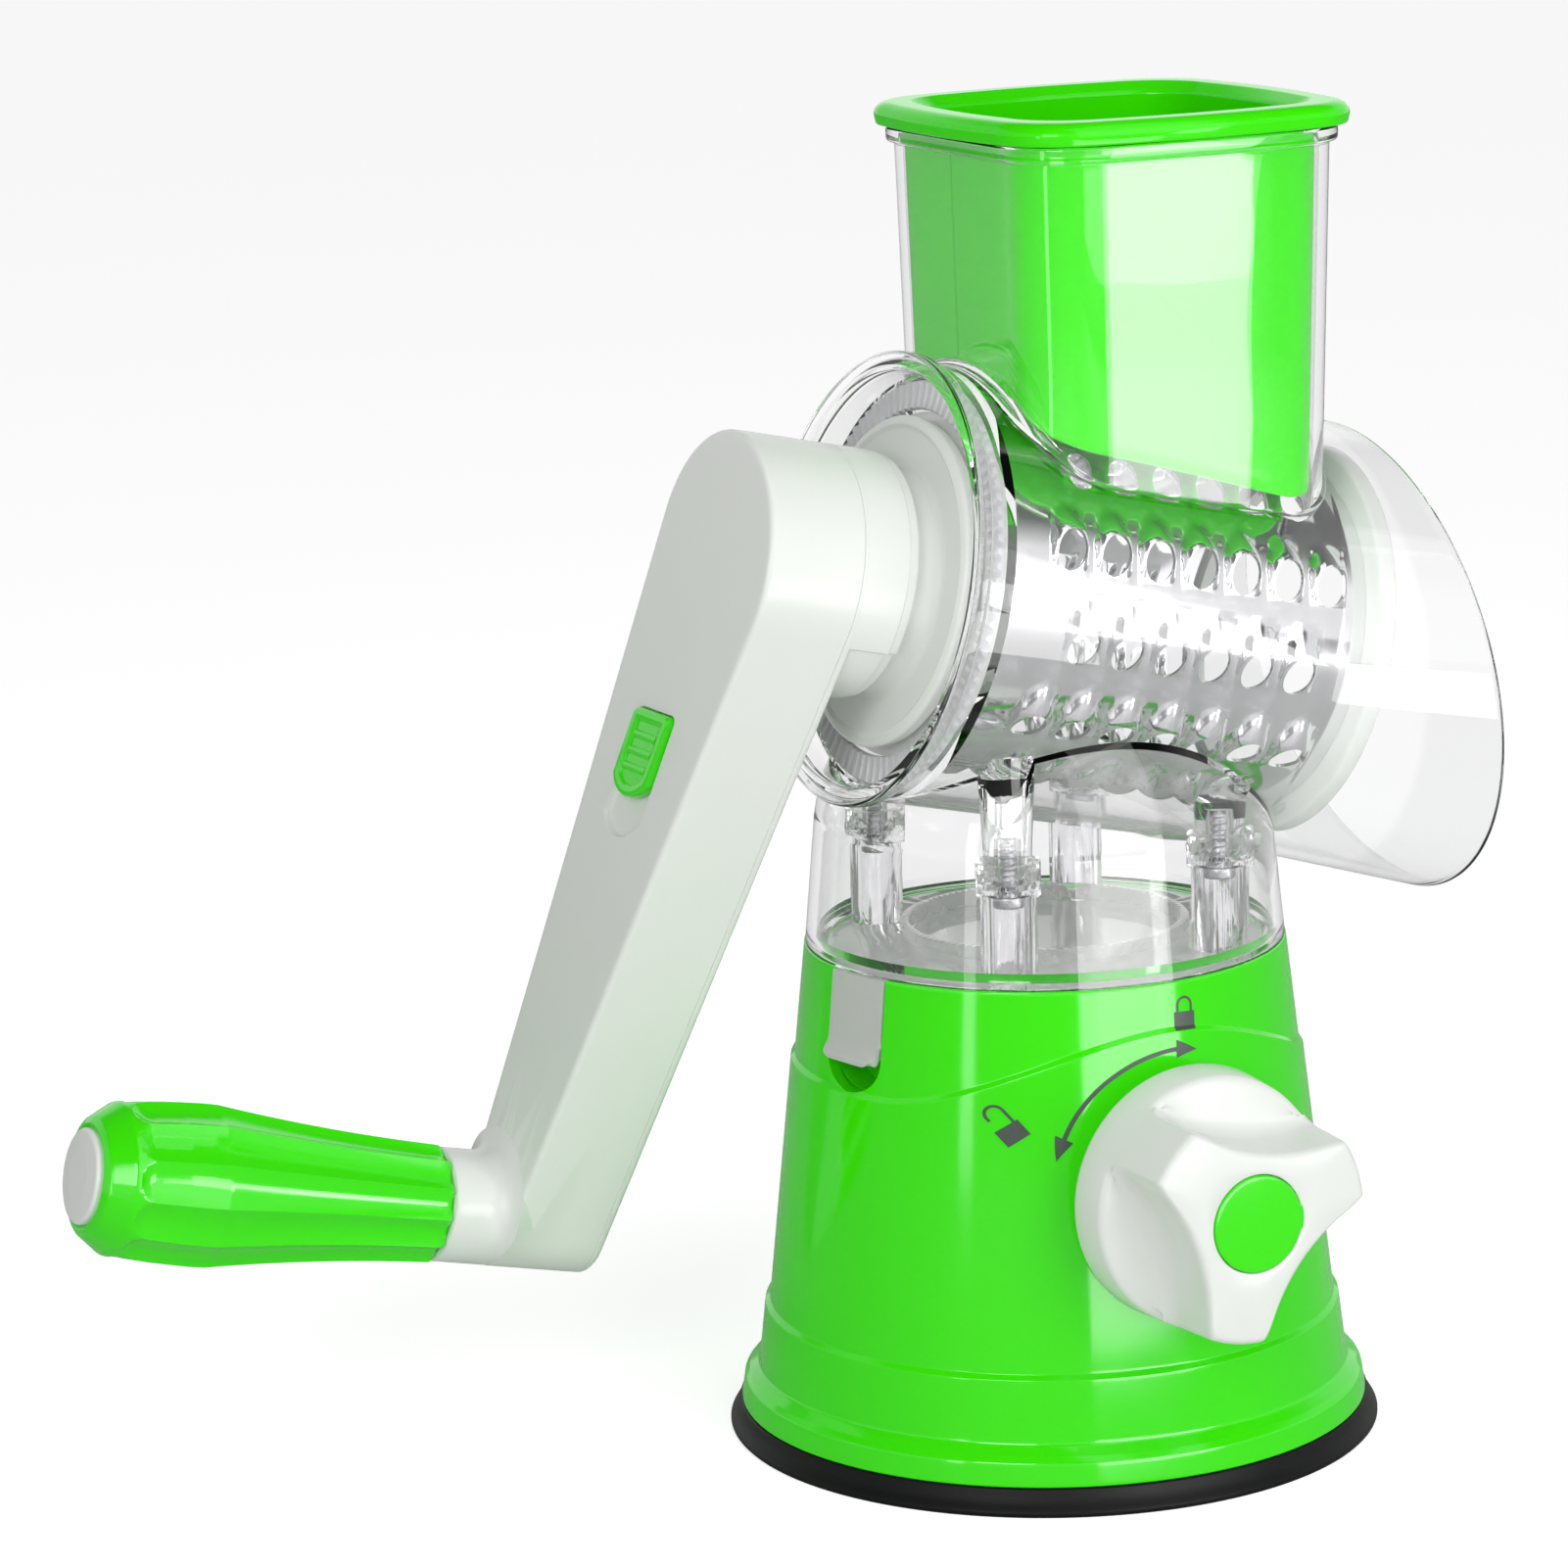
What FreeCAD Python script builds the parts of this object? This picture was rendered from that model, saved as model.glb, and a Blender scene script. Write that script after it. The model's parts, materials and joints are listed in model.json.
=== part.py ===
import FreeCAD, Part
import math
import os
import re

import Sketcher

# Hand-cranked drum shredder on a suction base, in millimetres.
# World frame: +Z up, origin at the centre of the rubber foot's flat underside. The crank is on
# the -X side, the food comes out on the +X side and the lock knob faces -Y.
# Drum frame: its z runs along the drum's sloping axis from the crank to the outlet (called
# "along" below), its x points down and its y is the world's y.

SIZES = (
    ("fit_gap", 0.3, "gap between curved faces of different pieces"),
    ("shaft_play", 0.05, "radial play of a shaft in its hole"),
    # Rubber foot
    ("foot_radius", 65.0, "rubber foot, outer edge on the table"),
    ("foot_lip", 0.8, "height of the straight edge at the table"),
    ("pad_height", 5.2, "rubber foot, height of its rim"),
    ("pad_top_radius", 62.6, "rubber foot, outer edge under the shell"),
    ("pad_flare", 7.0, "radius of the hollow flare of the rim"),
    ("pad_land", 58.0, "inner edge of the thick rim"),
    ("pad_sheet", 3.4, "thickness of the flexible sheet"),
    # Base shell
    ("shell_wall", 2.2, "wall of the base shell"),
    ("crease_radius", 61.7, "crease of the bottom flange"),
    ("crease_height", 9.8, "height of the crease"),
    ("flange_sweep", 11.0, "radius of the flange's hollow sweep"),
    ("ankle_radius", 57.9, "radius where the flange ends"),
    ("ankle_height", 17.0, "height where the flange ends"),
    ("low_ridge_radius", 57.2, "radius at the lower ridge"),
    ("low_ridge_height", 25.0, "height of the lower ridge"),
    ("ridge_step", 0.8, "step at each ridge"),
    ("high_ridge_radius", 50.9, "radius at the upper ridge"),
    ("high_ridge_height", 75.6, "height of the upper ridge"),
    ("top_radius", 47.6, "radius at the shell's top edge"),
    ("base_height", 99.0, "height of the shell's top edge"),
    ("deck_drop", 2.3, "depth of the deck below the top edge"),
    ("deck_thickness", 2.2, "thickness of the deck"),
    ("deck_hole", 18.0, "radius of the hole in the deck"),
    ("ledge_height", 43.0, "height of the inner ledge's underside"),
    ("ledge_thickness", 5.0, "thickness of the inner ledge"),
    ("ledge_radius", 46.0, "inner radius of the ledge"),
    # Lock
    ("knob_height", 60.0, "height of the knob's axis"),
    ("boss_radius", 13.0, "shaft boss in the shell"),
    ("boss_face", 55.5, "distance of the boss's outer face"),
    ("boss_end", 14.0, "distance of the boss's inner end"),
    ("cam_shaft_radius", 9.0, "shaft of the cam"),
    ("cam_radius", 5.5, "round cam"),
    ("cam_throw", 3.2, "distance of the cam from the shaft's axis"),
    ("cam_half_length", 7.8, "half the cam's length"),
    ("lock_angle", 90.0, "turn of the knob from released to locked"),
    ("journal_radius", 4.0, "rear journal of the cam shaft"),
    ("knob_radius", 25.0, "round plate of the knob"),
    ("knob_plate", 10.7, "thickness of the knob's round plate"),
    ("knob_reach", 26.3, "knob, from its back to its front"),
    ("lobe_radius", 23.4, "outer radius of the knob's lobes"),
    ("scoop_radius", 40.0, "radius of the hollows between the lobes"),
    ("scoop_floor", 13.4, "distance of the hollows from the axis"),
    ("lobe_phase", 19.0, "angle of the first lobe above +X"),
    ("knob_socket", 6.0, "depth of the shaft in the knob"),
    ("cap_radius", 9.4, "disc in the knob's face"),
    ("cap_depth", 2.2, "depth of the disc's seat"),
    ("cap_step", 0.2, "disc above the knob's face"),
    ("knob_screw_head", 3.5, "head of the knob's screw"),
    ("knob_screw_head_height", 2.4, "height of that head"),
    ("knob_screw_radius", 2.0, "shank of the knob's screw"),
    ("knob_screw_length", 20.0, "length of that shank"),
    ("knob_screw_depth", 12.0, "depth of the head below the knob's face"),
    # Lift stem, its spring and its guide
    ("stem_foot_radius", 14.0, "foot disc of the stem"),
    ("stem_foot_height", 2.5, "thickness of the foot disc"),
    ("stem_radius", 5.0, "rod of the stem"),
    ("yoke_half_width", 12.4, "yoke, half its outer width"),
    ("yoke_half_depth", 4.5, "yoke, half its depth"),
    ("yoke_bar", 4.2, "thickness of the yoke's bars"),
    ("yoke_play", 0.5, "window below and beside the cam"),
    ("stem_stud", 3.0, "stud that joins the rod to its foot"),
    ("stem_boss_height", 6.1, "boss on the foot disc"),
    ("guide_plate", 3.0, "thickness of the guide plate"),
    ("guide_radius", 8.5, "tube that guides the stem"),
    ("guide_length", 13.0, "length of that tube below the plate"),
    ("post_half_width", 8.0, "rear bearing post, half its width"),
    ("post_thickness", 4.0, "thickness of the post"),
    ("post_gap", 0.7, "gap between cam and post"),
    ("post_rise", 10.0, "post above the knob's axis"),
    ("spring_radius", 7.2, "lift spring, radius to the wire's centre"),
    ("spring_wire", 0.7, "radius of the spring's wire"),
    ("spring_turns", 5.0, "turns of the spring"),
    ("frame_screw_circle", 48.6, "screws of the guide plate, distance from centre"),
    ("frame_screw_head", 2.8, "head of those screws"),
    ("frame_screw_head_height", 1.8, "height of that head"),
    ("frame_screw_radius", 1.5, "shank of those screws"),
    ("frame_screw_length", 7.4, "length of that shank"),
    # Latch
    ("latch_angle", 12.0, "latch, turned from -X towards -Y"),
    ("latch_width", 15.4, "width of the latch tab"),
    ("latch_rise", 6.4, "tab's lower edge above the upper ridge"),
    ("latch_top", 0.3, "tab below the clear skirt"),
    ("latch_thickness", 2.0, "thickness of the tab"),
    ("latch_sink", 0.2, "tab inside the shell's surface"),
    ("lip_reach", 2.4, "height of the flared lip"),
    ("latch_lip", 2.0, "outward flare of the lower lip"),
    ("nib_depth", 1.4, "depth of the catch"),
    ("nib_height", 0.8, "height of the catch"),
    ("nib_drop", 0.3, "catch below the tab's top"),
    ("nib_width", 9.0, "width of the catch"),
    ("lug_gap", 3.4, "half the gap between the latch's two lugs"),
    ("pin_drop", 0.5, "latch pin below the middle of the tab"),
    ("pin_reach", 44.6, "distance of the pin from the centre"),
    ("pin_radius", 1.5, "latch pin"),
    ("knuckle_radius", 2.7, "knuckle round the pin"),
    ("pocket_rise", 0.4, "floor of the latch pocket above the upper ridge"),
    ("pocket_depth", 41.2, "distance of the pocket's back wall"),
    ("pocket_wall", 2.0, "wall of the latch pocket"),
    ("coil_wire", 0.45, "latch spring, radius of its wire"),
    ("coil_turns", 3.0, "turns of the latch spring"),
    # Clear floor plate and its screws
    ("floor_play", 0.3, "floor plate above the deck"),
    ("floor_thickness", 2.2, "thickness of the floor plate"),
    ("tube_spread_across", 28.7, "screw tubes, half their spacing along Y"),
    ("tube_spread_along", 23.0, "screw tubes, half their spacing along X"),
    ("tube_radius", 5.4, "outer radius of the screw tubes"),
    ("tube_height", 23.0, "height of the screw tubes"),
    ("collar_radius", 6.2, "collar at the top of the tubes"),
    ("collar_height", 6.5, "height of the collar"),
    ("seat_depth", 4.0, "depth of the pillar in the collar"),
    ("web_thickness", 2.4, "web under the pillar"),
    ("housing_screw_head", 3.0, "head of the housing screws"),
    ("housing_screw_head_height", 2.4, "height of that head"),
    ("housing_screw_radius", 1.7, "shank of the housing screws"),
    ("housing_screw_length", 11.0, "length of that shank"),
    ("ring_radius", 28.5, "ring on the floor plate"),
    ("ring_wall", 1.6, "wall of that ring"),
    ("ring_height", 3.4, "height of that ring"),
    # Clear housing
    ("axis_height", 165.5, "height of the drum axis above the centre"),
    ("tilt", 13.0, "slope of the drum axis"),
    ("tunnel_radius", 42.5, "outer radius of the tunnel"),
    ("clear_wall", 2.0, "wall of the tunnel, hood and skirt"),
    ("tunnel_back", 38.5, "tunnel behind the centre"),
    ("tunnel_front", 44.0, "tunnel ahead of the centre"),
    ("lip_radius", 44.2, "lip round the crank end"),
    ("lip_length", 3.0, "length of that lip"),
    ("wall_back", 31.0, "outer face of the end wall"),
    ("end_wall", 2.0, "thickness of the end wall"),
    ("bearing_radius", 14.2, "bearing hole in the end wall"),
    ("mouth_distance", 75.5, "outlet mouth, distance of its centre"),
    ("mouth_drop", 1.07, "mouth's centre below the drum axis"),
    ("mouth_radius", 48.7, "outer radius of the mouth"),
    ("mouth_tilt", 9.2, "mouth turned upwards"),
    ("skirt_shift", 0.2, "skirt inside the shell's top edge"),
    ("skirt_slope", 0.096, "skirt's inward slope"),
    ("skirt_height", 34.0, "height of the straight skirt"),
    ("shoulder_radius", 38.4, "skirt's top inside the tunnel"),
    ("shoulder_height", 19.0, "height of the skirt's shoulder"),
    ("shoulder_sweep", 40.0, "radius of the shoulder's curve"),
    ("spigot_depth", 2.1, "skirt's spigot inside the shell"),
    ("spigot_root", 3.0, "height over which the skirt thickens towards the spigot"),
    ("pillar_radius", 4.3, "pillar over each screw tube"),
    ("pillar_top_radius", 5.6, "pillar where it meets the tunnel"),
    ("pillar_rise", 26.0, "pillar's full height"),
    # Hopper
    ("hopper_centre", 17.0, "hopper's centre towards the outlet"),
    ("hopper_top", 257.6, "height of the hopper's edge"),
    ("hopper_half", 33.4, "half the hopper's outer width at the top"),
    ("hopper_corner", 12.0, "outer corner radius of the hopper"),
    ("hopper_root", 170.0, "height where the hopper's walls start inside the tunnel"),
    ("hopper_wall", 1.6, "wall of the hopper"),
    ("hopper_draft", 0.02, "hopper's inward slope"),
    ("hopper_lip", 1.8, "lip round the hopper's edge"),
    ("hopper_lip_height", 3.0, "height of that lip"),
    # Pusher
    ("pusher_gap", 0.6, "gap between pusher and hopper"),
    ("pusher_wall", 1.8, "wall of the pusher"),
    ("rim_half", 36.4, "half the rim's outer width"),
    ("rim_corner", 14.0, "outer corner radius of the rim"),
    ("rim_height", 4.4, "height of the rim"),
    ("pusher_floor", 37.3, "pusher's underside above the drum axis"),
    ("pusher_hollow", 90.0, "radius of the pusher's hollow underside"),
    ("pusher_low", 182.0, "lowest reach of the pusher before its underside is cut"),
    # Drum
    ("drum_radius", 33.5, "outer radius of the drum"),
    ("drum_sheet", 0.8, "thickness of the drum"),
    ("drum_back", 25.0, "drum's crank end"),
    ("drum_front", 54.0, "drum's outlet end"),
    ("tooth_rows", 12, "rows of teeth round the drum"),
    ("tooth_count", 7, "teeth in a long row"),
    ("tooth_pitch", 9.7, "distance between teeth in a row"),
    ("tooth_first", 13.3, "first tooth behind the centre"),
    ("tooth_phase", 22.5, "first row above -Y"),
    ("tooth_ball", 3.9, "outer radius of a tooth's dome"),
    ("tooth_skin", 0.7, "thickness of the dome"),
    ("tooth_rise", 1.6, "height of a tooth above the drum"),
    ("tooth_hole", 2.9, "radius of the hole at a tooth"),
    ("cap_flange", 3.3, "thickness of the drum cap"),
    ("cap_spigot", 5.0, "length of the cap inside the drum"),
    ("cap_fit", 0.2, "gap between cap and drum"),
    ("journal_play", 0.06, "radial play of the drum's journal"),
    ("stub_half", 6.0, "half the width of the square drive"),
    ("stub_end", 68.4, "end of the square drive"),
    ("notch_depth", 1.8, "depth of the notch in the drive"),
    ("outlet_ring_radius", 39.0, "ring at the drum's outlet"),
    ("outlet_ring_length", 4.0, "length of that ring"),
    ("outlet_ring_bore", 31.0, "opening of that ring"),
    # Crank
    ("crank_angle", 19.0, "crank turned from straight down towards +Y"),
    ("disc_radius", 32.5, "bearing disc"),
    ("disc_thickness", 3.7, "thickness of that disc"),
    ("disc_boss", 21.0, "boss of that disc"),
    ("hub_radius", 25.0, "hub of the crank"),
    ("hub_end", 39.5, "hub's end towards the drum"),
    ("hub_wall", 2.4, "wall of the hub"),
    ("hub_core", 10.0, "core round the square drive"),
    ("drive_play", 0.15, "gap round the square drive"),
    ("arm_back", 50.0, "arm's face towards the drum"),
    ("arm_depth", 22.0, "depth of the arm"),
    ("arm_length", 147.5, "from the drum axis to the grip's axis"),
    ("arm_head", 24.5, "radius of the arm's head"),
    ("arm_foot", 11.5, "radius of the arm's foot"),
    ("arm_wall", 2.4, "side wall of the arm"),
    ("arm_face", 3.0, "outer wall of the arm"),
    ("cover_thickness", 2.0, "cover plate of the arm"),
    ("arm_screw_near", 34.0, "first pair of arm screws along the arm"),
    ("arm_screw_side", 14.4, "first pair of arm screws to each side"),
    ("arm_screw_middle", 90.0, "third arm screw along the arm"),
    ("arm_screw_far", 122.0, "last arm screw along the arm"),
    ("arm_post", 3.4, "radius of the screw posts"),
    ("arm_screw_head", 2.8, "head of the arm screws"),
    ("arm_screw_head_height", 1.5, "height of that head"),
    ("arm_screw_radius", 1.4, "shank of the arm screws"),
    ("arm_screw_length", 12.0, "length of that shank"),
    # Slide button and bolt
    ("button_start", 34.0, "button's upper edge along the arm"),
    ("button_length", 18.6, "length of the button"),
    ("button_width", 14.8, "width of the button"),
    ("button_rise", 1.3, "button above the arm's face"),
    ("button_travel", 8.0, "travel of the button"),
    ("recess_depth", 1.5, "recess round the button"),
    ("button_rib", 0.6, "height of the button's ribs"),
    ("button_ribs", 3, "ribs across the button"),
    ("button_round", 9.0, "radius of the button's lower end"),
    ("neck_start", 6.0, "button's neck behind its upper edge"),
    ("neck_length", 8.0, "length of the neck"),
    ("neck_width", 5.8, "width of the neck"),
    ("bolt_tip", 4.5, "bolt's tip from the drum axis"),
    ("bolt_tail", 56.0, "bolt's tail from the drum axis"),
    ("bolt_width", 10.0, "width of the bolt"),
    ("bolt_thickness", 3.0, "thickness of the bolt"),
    ("bolt_depth", 5.1, "bolt below the arm's face"),
    # Grip and spindle
    ("crank_neck", 12.0, "neck between arm and grip"),
    ("spindle_radius", 4.0, "spindle"),
    ("spindle_root", 14.0, "spindle inside the arm"),
    ("spindle_boss", 7.0, "boss round the spindle's root"),
    ("grip_length", 73.7, "length of the grip"),
    ("grip_inner_radius", 11.6, "grip's radius at the arm"),
    ("grip_radius", 16.4, "grip's largest radius"),
    ("grip_belly", 49.0, "largest radius, from the inner end"),
    ("grip_belly_curve", 420.0, "radius of the grip's long curve"),
    ("grip_shoulder", 61.5, "shoulder, from the inner end"),
    ("grip_shoulder_radius", 15.8, "radius at the shoulder"),
    ("grip_edge", 72.2, "outer edge, from the inner end"),
    ("grip_edge_radius", 12.9, "radius at the outer edge"),
    ("grip_end_radius", 10.4, "radius of the grip's end face"),
    ("flute_count", 12, "flutes round the grip"),
    ("flute_radius", 3.4, "radius of a flute's hollow"),
    ("flute_depth", 1.1, "depth of a flute"),
    ("grip_recess", 8.0, "radius of the recess in the grip's end"),
    ("grip_recess_depth", 6.0, "depth of that recess"),
    ("washer_radius", 6.6, "spindle washer"),
    ("washer_thickness", 1.2, "thickness of the washer"),
    ("spindle_screw_head", 4.2, "head of the spindle's screw"),
    ("spindle_screw_head_height", 1.8, "height of that head"),
    ("spindle_screw_radius", 1.8, "shank of the spindle's screw"),
    ("spindle_screw_length", 12.0, "length of that shank"),
    ("grip_cap_radius", 9.5, "disc on the grip's end"),
    ("grip_cap_height", 1.2, "height of that disc"),
    ("grip_cap_spigot", 1.4, "spigot of that disc"),
)

doc = FreeCAD.newDocument("drum_shredder")
sheet = doc.addObject("Spreadsheet::Sheet", "sizes")
for row, (alias, value, meaning) in enumerate(SIZES, start=1):
    sheet.set(f"A{row}", meaning)
    sheet.set(f"B{row}", str(value))
    sheet.setAlias(f"B{row}", alias)
doc.recompute()

ALIASES = {alias for alias, value, meaning in SIZES}
SUBPARTS = []


# ---- expressions -------------------------------------------------------------------------------

def bound(formula):
    """The formula with each size's name pointing at its cell of the sheet."""
    def point(match):
        word = match.group(0)
        return f"sizes.{word}" if word in ALIASES else word
    return re.sub(r"[a-z][a-z_]*", point, str(formula))


def number(formula):
    """The formula's value now."""
    return float(sheet.evalExpression(bound(formula)))


def bind(thing, **formulas):
    for name, formula in formulas.items():
        thing.setExpression(name, bound(formula))
    return thing


def less(formula, other):
    return f"({formula}) - ({other})"


def more(formula, other):
    return f"({formula}) + ({other})"


def turn(axis, angle):
    direction = {"x": "1; 0; 0", "y": "0; 1; 0", "z": "0; 0; 1"}[axis]
    return f"rotation(vector({direction}); {angle})"


def at(x="0", y="0", z="0", *turns):
    """The expression of a placement: a place, and turns of which the last is made first."""
    return f"placement(vector({x}; {y}; {z}); {' * '.join(turns) or turn('z', '0')})"


def put(thing, *placements):
    """Binds a thing's Placement to the product of the placements."""
    thing.setExpression("Placement", bound(" * ".join(placements)))
    return thing


def subpart(thing, label, *placements):
    """Names a sub-part and puts it in its frame."""
    thing.Label = label
    put(thing, *(placements or (at(),)))
    SUBPARTS.append(thing)
    return thing


POCKET_BOTTOM = "(high_ridge_height + pocket_rise)"
LATCH_BOTTOM = "(high_ridge_height + latch_rise)"
PIN_HEIGHT = "((high_ridge_height + latch_rise + base_height) / 2 - pin_drop)"
MOUTH_HEIGHT = "(axis_height - mouth_distance * tan(tilt) - mouth_drop)"

DRUM = at("0", "0", "axis_height", turn("y", "90 + tilt"))
CRANK = at("0", "0", "axis_height", turn("y", "90 + tilt"), turn("z", "crank_angle"))
GRIP = at("arm_length")
LATCH = at("0", "0", "0", turn("z", "180 + latch_angle"))
LATCH_PIN = at("pin_reach", "0", PIN_HEIGHT, turn("x", "90"))
KNOB = at("0", "0", "knob_height", turn("x", "90"))


# ---- primitives and booleans -------------------------------------------------------------------

def cylinder(name, radius, low, high, x="0", y="0"):
    """A cylinder along z from low to high."""
    made = bind(doc.addObject("Part::Cylinder", name), Radius=radius, Height=less(high, low))
    return put(made, at(x, y, low))


def cone(name, low_radius, high_radius, low, high, x="0", y="0"):
    """A cone along z from low to high."""
    made = doc.addObject("Part::Cone", name)
    bind(made, Radius1=low_radius, Radius2=high_radius, Height=less(high, low))
    return put(made, at(x, y, low))


def box(name, x, y, z):
    """A box between the low and the high of each axis."""
    made = doc.addObject("Part::Box", name)
    bind(made, Length=less(x[1], x[0]), Width=less(y[1], y[0]), Height=less(z[1], z[0]))
    return put(made, at(x[0], y[0], z[0]))


def both(half):
    """The low and the high of a width centred on nought."""
    return f"-({half})", half


def fuse(name, *things):
    if len(things) == 1:
        return things[0]
    made = doc.addObject("Part::MultiFuse", name)
    made.Shapes = list(things)
    return made


def cut(name, base, *tools):
    made = doc.addObject("Part::Cut", name)
    made.Base = base
    made.Tool = fuse(name + "_tools", *tools)
    return made


def tube(name, outer, inner, low, high, x="0", y="0"):
    return cut(name, cylinder(name + "_outer", outer, low, high, x, y),
               cylinder(name + "_inner", inner, low, high, x, y))


def screw(name, head_radius, head_height, shank_radius, shank_length, seat, x="0", y="0"):
    """A screw whose head bears on the height seat and whose shank runs up from it."""
    return fuse(name, cylinder(name + "_head", head_radius, less(seat, head_height), seat, x, y),
                cylinder(name + "_shank", shank_radius, seat, more(seat, shank_length), x, y))


# ---- sketches ----------------------------------------------------------------------------------

def arc_between(start, end, radius, centre_left):
    """The short arc between two points, its centre left or right of the way from start to end."""
    chord = end - start
    side = FreeCAD.Vector(-chord.y, chord.x, 0).normalize() * (1 if centre_left else -1)
    centre = (start + end) * 0.5 + side * math.sqrt(max(radius ** 2 - chord.Length ** 2 / 4, 0))
    first, last = (start, end) if centre_left else (end, start)
    from_angle = math.atan2(first.y - centre.y, first.x - centre.x)
    to_angle = math.atan2(last.y - centre.y, last.x - centre.x)
    circle = Part.Circle(centre, FreeCAD.Vector(0, 0, 1), radius)
    return Part.ArcOfCircle(circle, from_angle, to_angle)


def draw(sketch, points):
    """A closed outline. Each point is (x, y), or (x, y, radius, side) where an arc whose centre
    lies on that side, left or right, leads to the next point."""
    spots = [FreeCAD.Vector(number(point[0]), number(point[1]), 0) for point in points]
    edges = []
    for index, point in enumerate(points):
        start = spots[index]
        end = spots[(index + 1) % len(points)]
        if len(point) == 2:
            edges.append((sketch.addGeometry(Part.LineSegment(start, end)), 1, 2))
        else:
            left = point[3] == "left"
            edge = sketch.addGeometry(arc_between(start, end, number(point[2]), left))
            edges.append((edge, 1, 2) if left else (edge, 2, 1))
    for index, (edge, first, last) in enumerate(edges):
        after = edges[(index + 1) % len(edges)]
        sketch.addConstraint(Sketcher.Constraint("Coincident", edge, last, after[0], after[1]))
    for point, spot, (edge, first, last) in zip(points, spots, edges):
        for kind, formula, value in (("DistanceX", point[0], spot.x), ("DistanceY", point[1], spot.y)):
            index = sketch.addConstraint(Sketcher.Constraint(kind, edge, first, value))
            sketch.setExpression(f"Constraints[{index}]", bound(formula))
        if len(point) > 2:
            index = sketch.addConstraint(Sketcher.Constraint("Radius", edge, number(point[2])))
            sketch.setExpression(f"Constraints[{index}]", bound(point[2]))
    return sketch


def body_sketch(body, role, points):
    """An outline on one of the body's own origin planes."""
    sketch = body.newObject("Sketcher::SketchObject", body.Name + "_outline")
    plane = [item for item in body.Origin.OriginFeatures if item.Role == role][0]
    sketch.AttachmentSupport = [(plane, "")]
    sketch.MapMode = "FlatFace"
    return draw(sketch, points)


def turned(name, points):
    """A body turned about its z from an outline of (radius, height) points."""
    body = doc.addObject("PartDesign::Body", name)
    sketch = body_sketch(body, "XZ_Plane", points)
    revolution = body.newObject("PartDesign::Revolution", name + "_turn")
    revolution.Profile = sketch
    revolution.ReferenceAxis = (sketch, ["V_Axis"])
    revolution.Angle = 360
    return body


def padded(name, points, low, high):
    """A body padded along z from low to high from an outline of (x, y) points."""
    body = doc.addObject("PartDesign::Body", name)
    pad = body.newObject("PartDesign::Pad", name + "_pad")
    pad.Profile = body_sketch(body, "XY_Plane", points)
    bind(pad, Length=less(high, low))
    return put(body, at("0", "0", low))


def side_profile(name, points, half_width):
    """A body padded along y to both sides from an outline of (x, z) points."""
    body = doc.addObject("PartDesign::Body", name)
    pad = body.newObject("PartDesign::Pad", name + "_pad")
    pad.Profile = body_sketch(body, "XZ_Plane", points)
    bind(pad, Length=f"2 * ({half_width})")
    return put(body, at("0", half_width))


def rounded_square(half, corner, centre):
    """The outline of a square with round corners, centred on x = centre."""
    flat = less(half, corner)
    east, west = more(centre, half), less(centre, half)
    flat_east, flat_west = more(centre, flat), less(centre, flat)
    south, flat_south = f"-({half})", f"-({flat})"
    return (
        (east, flat_south), (east, flat, corner, "left"),
        (flat_east, half), (flat_west, half, corner, "left"),
        (west, flat), (west, flat_south, corner, "left"),
        (flat_west, south), (flat_east, south, corner, "left"),
    )


def square_prism(name, half, corner, low, high, draft="0", top="0"):
    """A rounded square prism on the hopper's centre line. Its half width is half at the height
    top and changes by draft for each unit of height above it."""
    sections = []
    for end, height in (("low", low), ("high", high)):
        sketch = doc.addObject("Sketcher::SketchObject", f"{name}_{end}")
        growth = f"(({height}) - ({top})) * {draft}"
        draw(sketch, rounded_square(more(half, growth), more(corner, growth), "hopper_centre"))
        sections.append(put(sketch, at("0", "0", height)))
    loft = doc.addObject("Part::Loft", name)
    loft.Sections = sections
    loft.Solid = True
    loft.Ruled = True
    return loft


def circle_loft(name, start_radius, start, end_radius, end):
    """A loft between two circles, each lying across the z axis of its placement."""
    sections = []
    for label, radius, placement in (("start", start_radius, start), ("end", end_radius, end)):
        circle = bind(doc.addObject("Part::Circle", f"{name}_{label}"), Radius=radius)
        sections.append(put(circle, *placement))
    loft = doc.addObject("Part::Loft", name)
    loft.Sections = sections
    loft.Solid = True
    loft.Ruled = True
    return loft


def coil(name, radius, wire, low, high, turns):
    """A round wire wound about z, its centre line from low to high."""
    height = less(high, low)
    path = doc.addObject("Part::Helix", name + "_path")
    put(bind(path, Radius=radius, Height=height, Pitch=f"({height}) / ({turns})"), at("0", "0", low))
    section = bind(doc.addObject("Part::Circle", name + "_section"), Radius=wire)
    put(section, at(radius, "0", low, turn("x", "90")))
    doc.recompute()
    sweep = doc.addObject("Part::Sweep", name)
    sweep.Sections = [section]
    sweep.Spine = (path, [f"Edge{index + 1}" for index in range(len(path.Shape.Edges))])
    sweep.Solid = True
    sweep.Frenet = True
    return sweep


# ---- base --------------------------------------------------------------------------------------

DECK_TOP = "base_height - deck_drop"
DECK_BOTTOM = "base_height - deck_drop - deck_thickness"
PLATE_BOTTOM = "ledge_height - guide_plate"
BOSS_FRONT = "boss_face"
KNOB_BACK = "boss_face + fit_gap"
KNOB_FRONT = "boss_face + fit_gap + knob_reach"
QUARTERS = (("east_north", "", ""), ("east_south", "", "-"), ("west_north", "-", ""), ("west_south", "-", "-"))


def wall_inside(height):
    """Inner radius of the shell between its two ridges."""
    fall = "(low_ridge_radius - high_ridge_radius) / (high_ridge_height - low_ridge_height)"
    return f"(low_ridge_radius - ridge_step - shell_wall - (({height}) - low_ridge_height) * {fall})"


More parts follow.
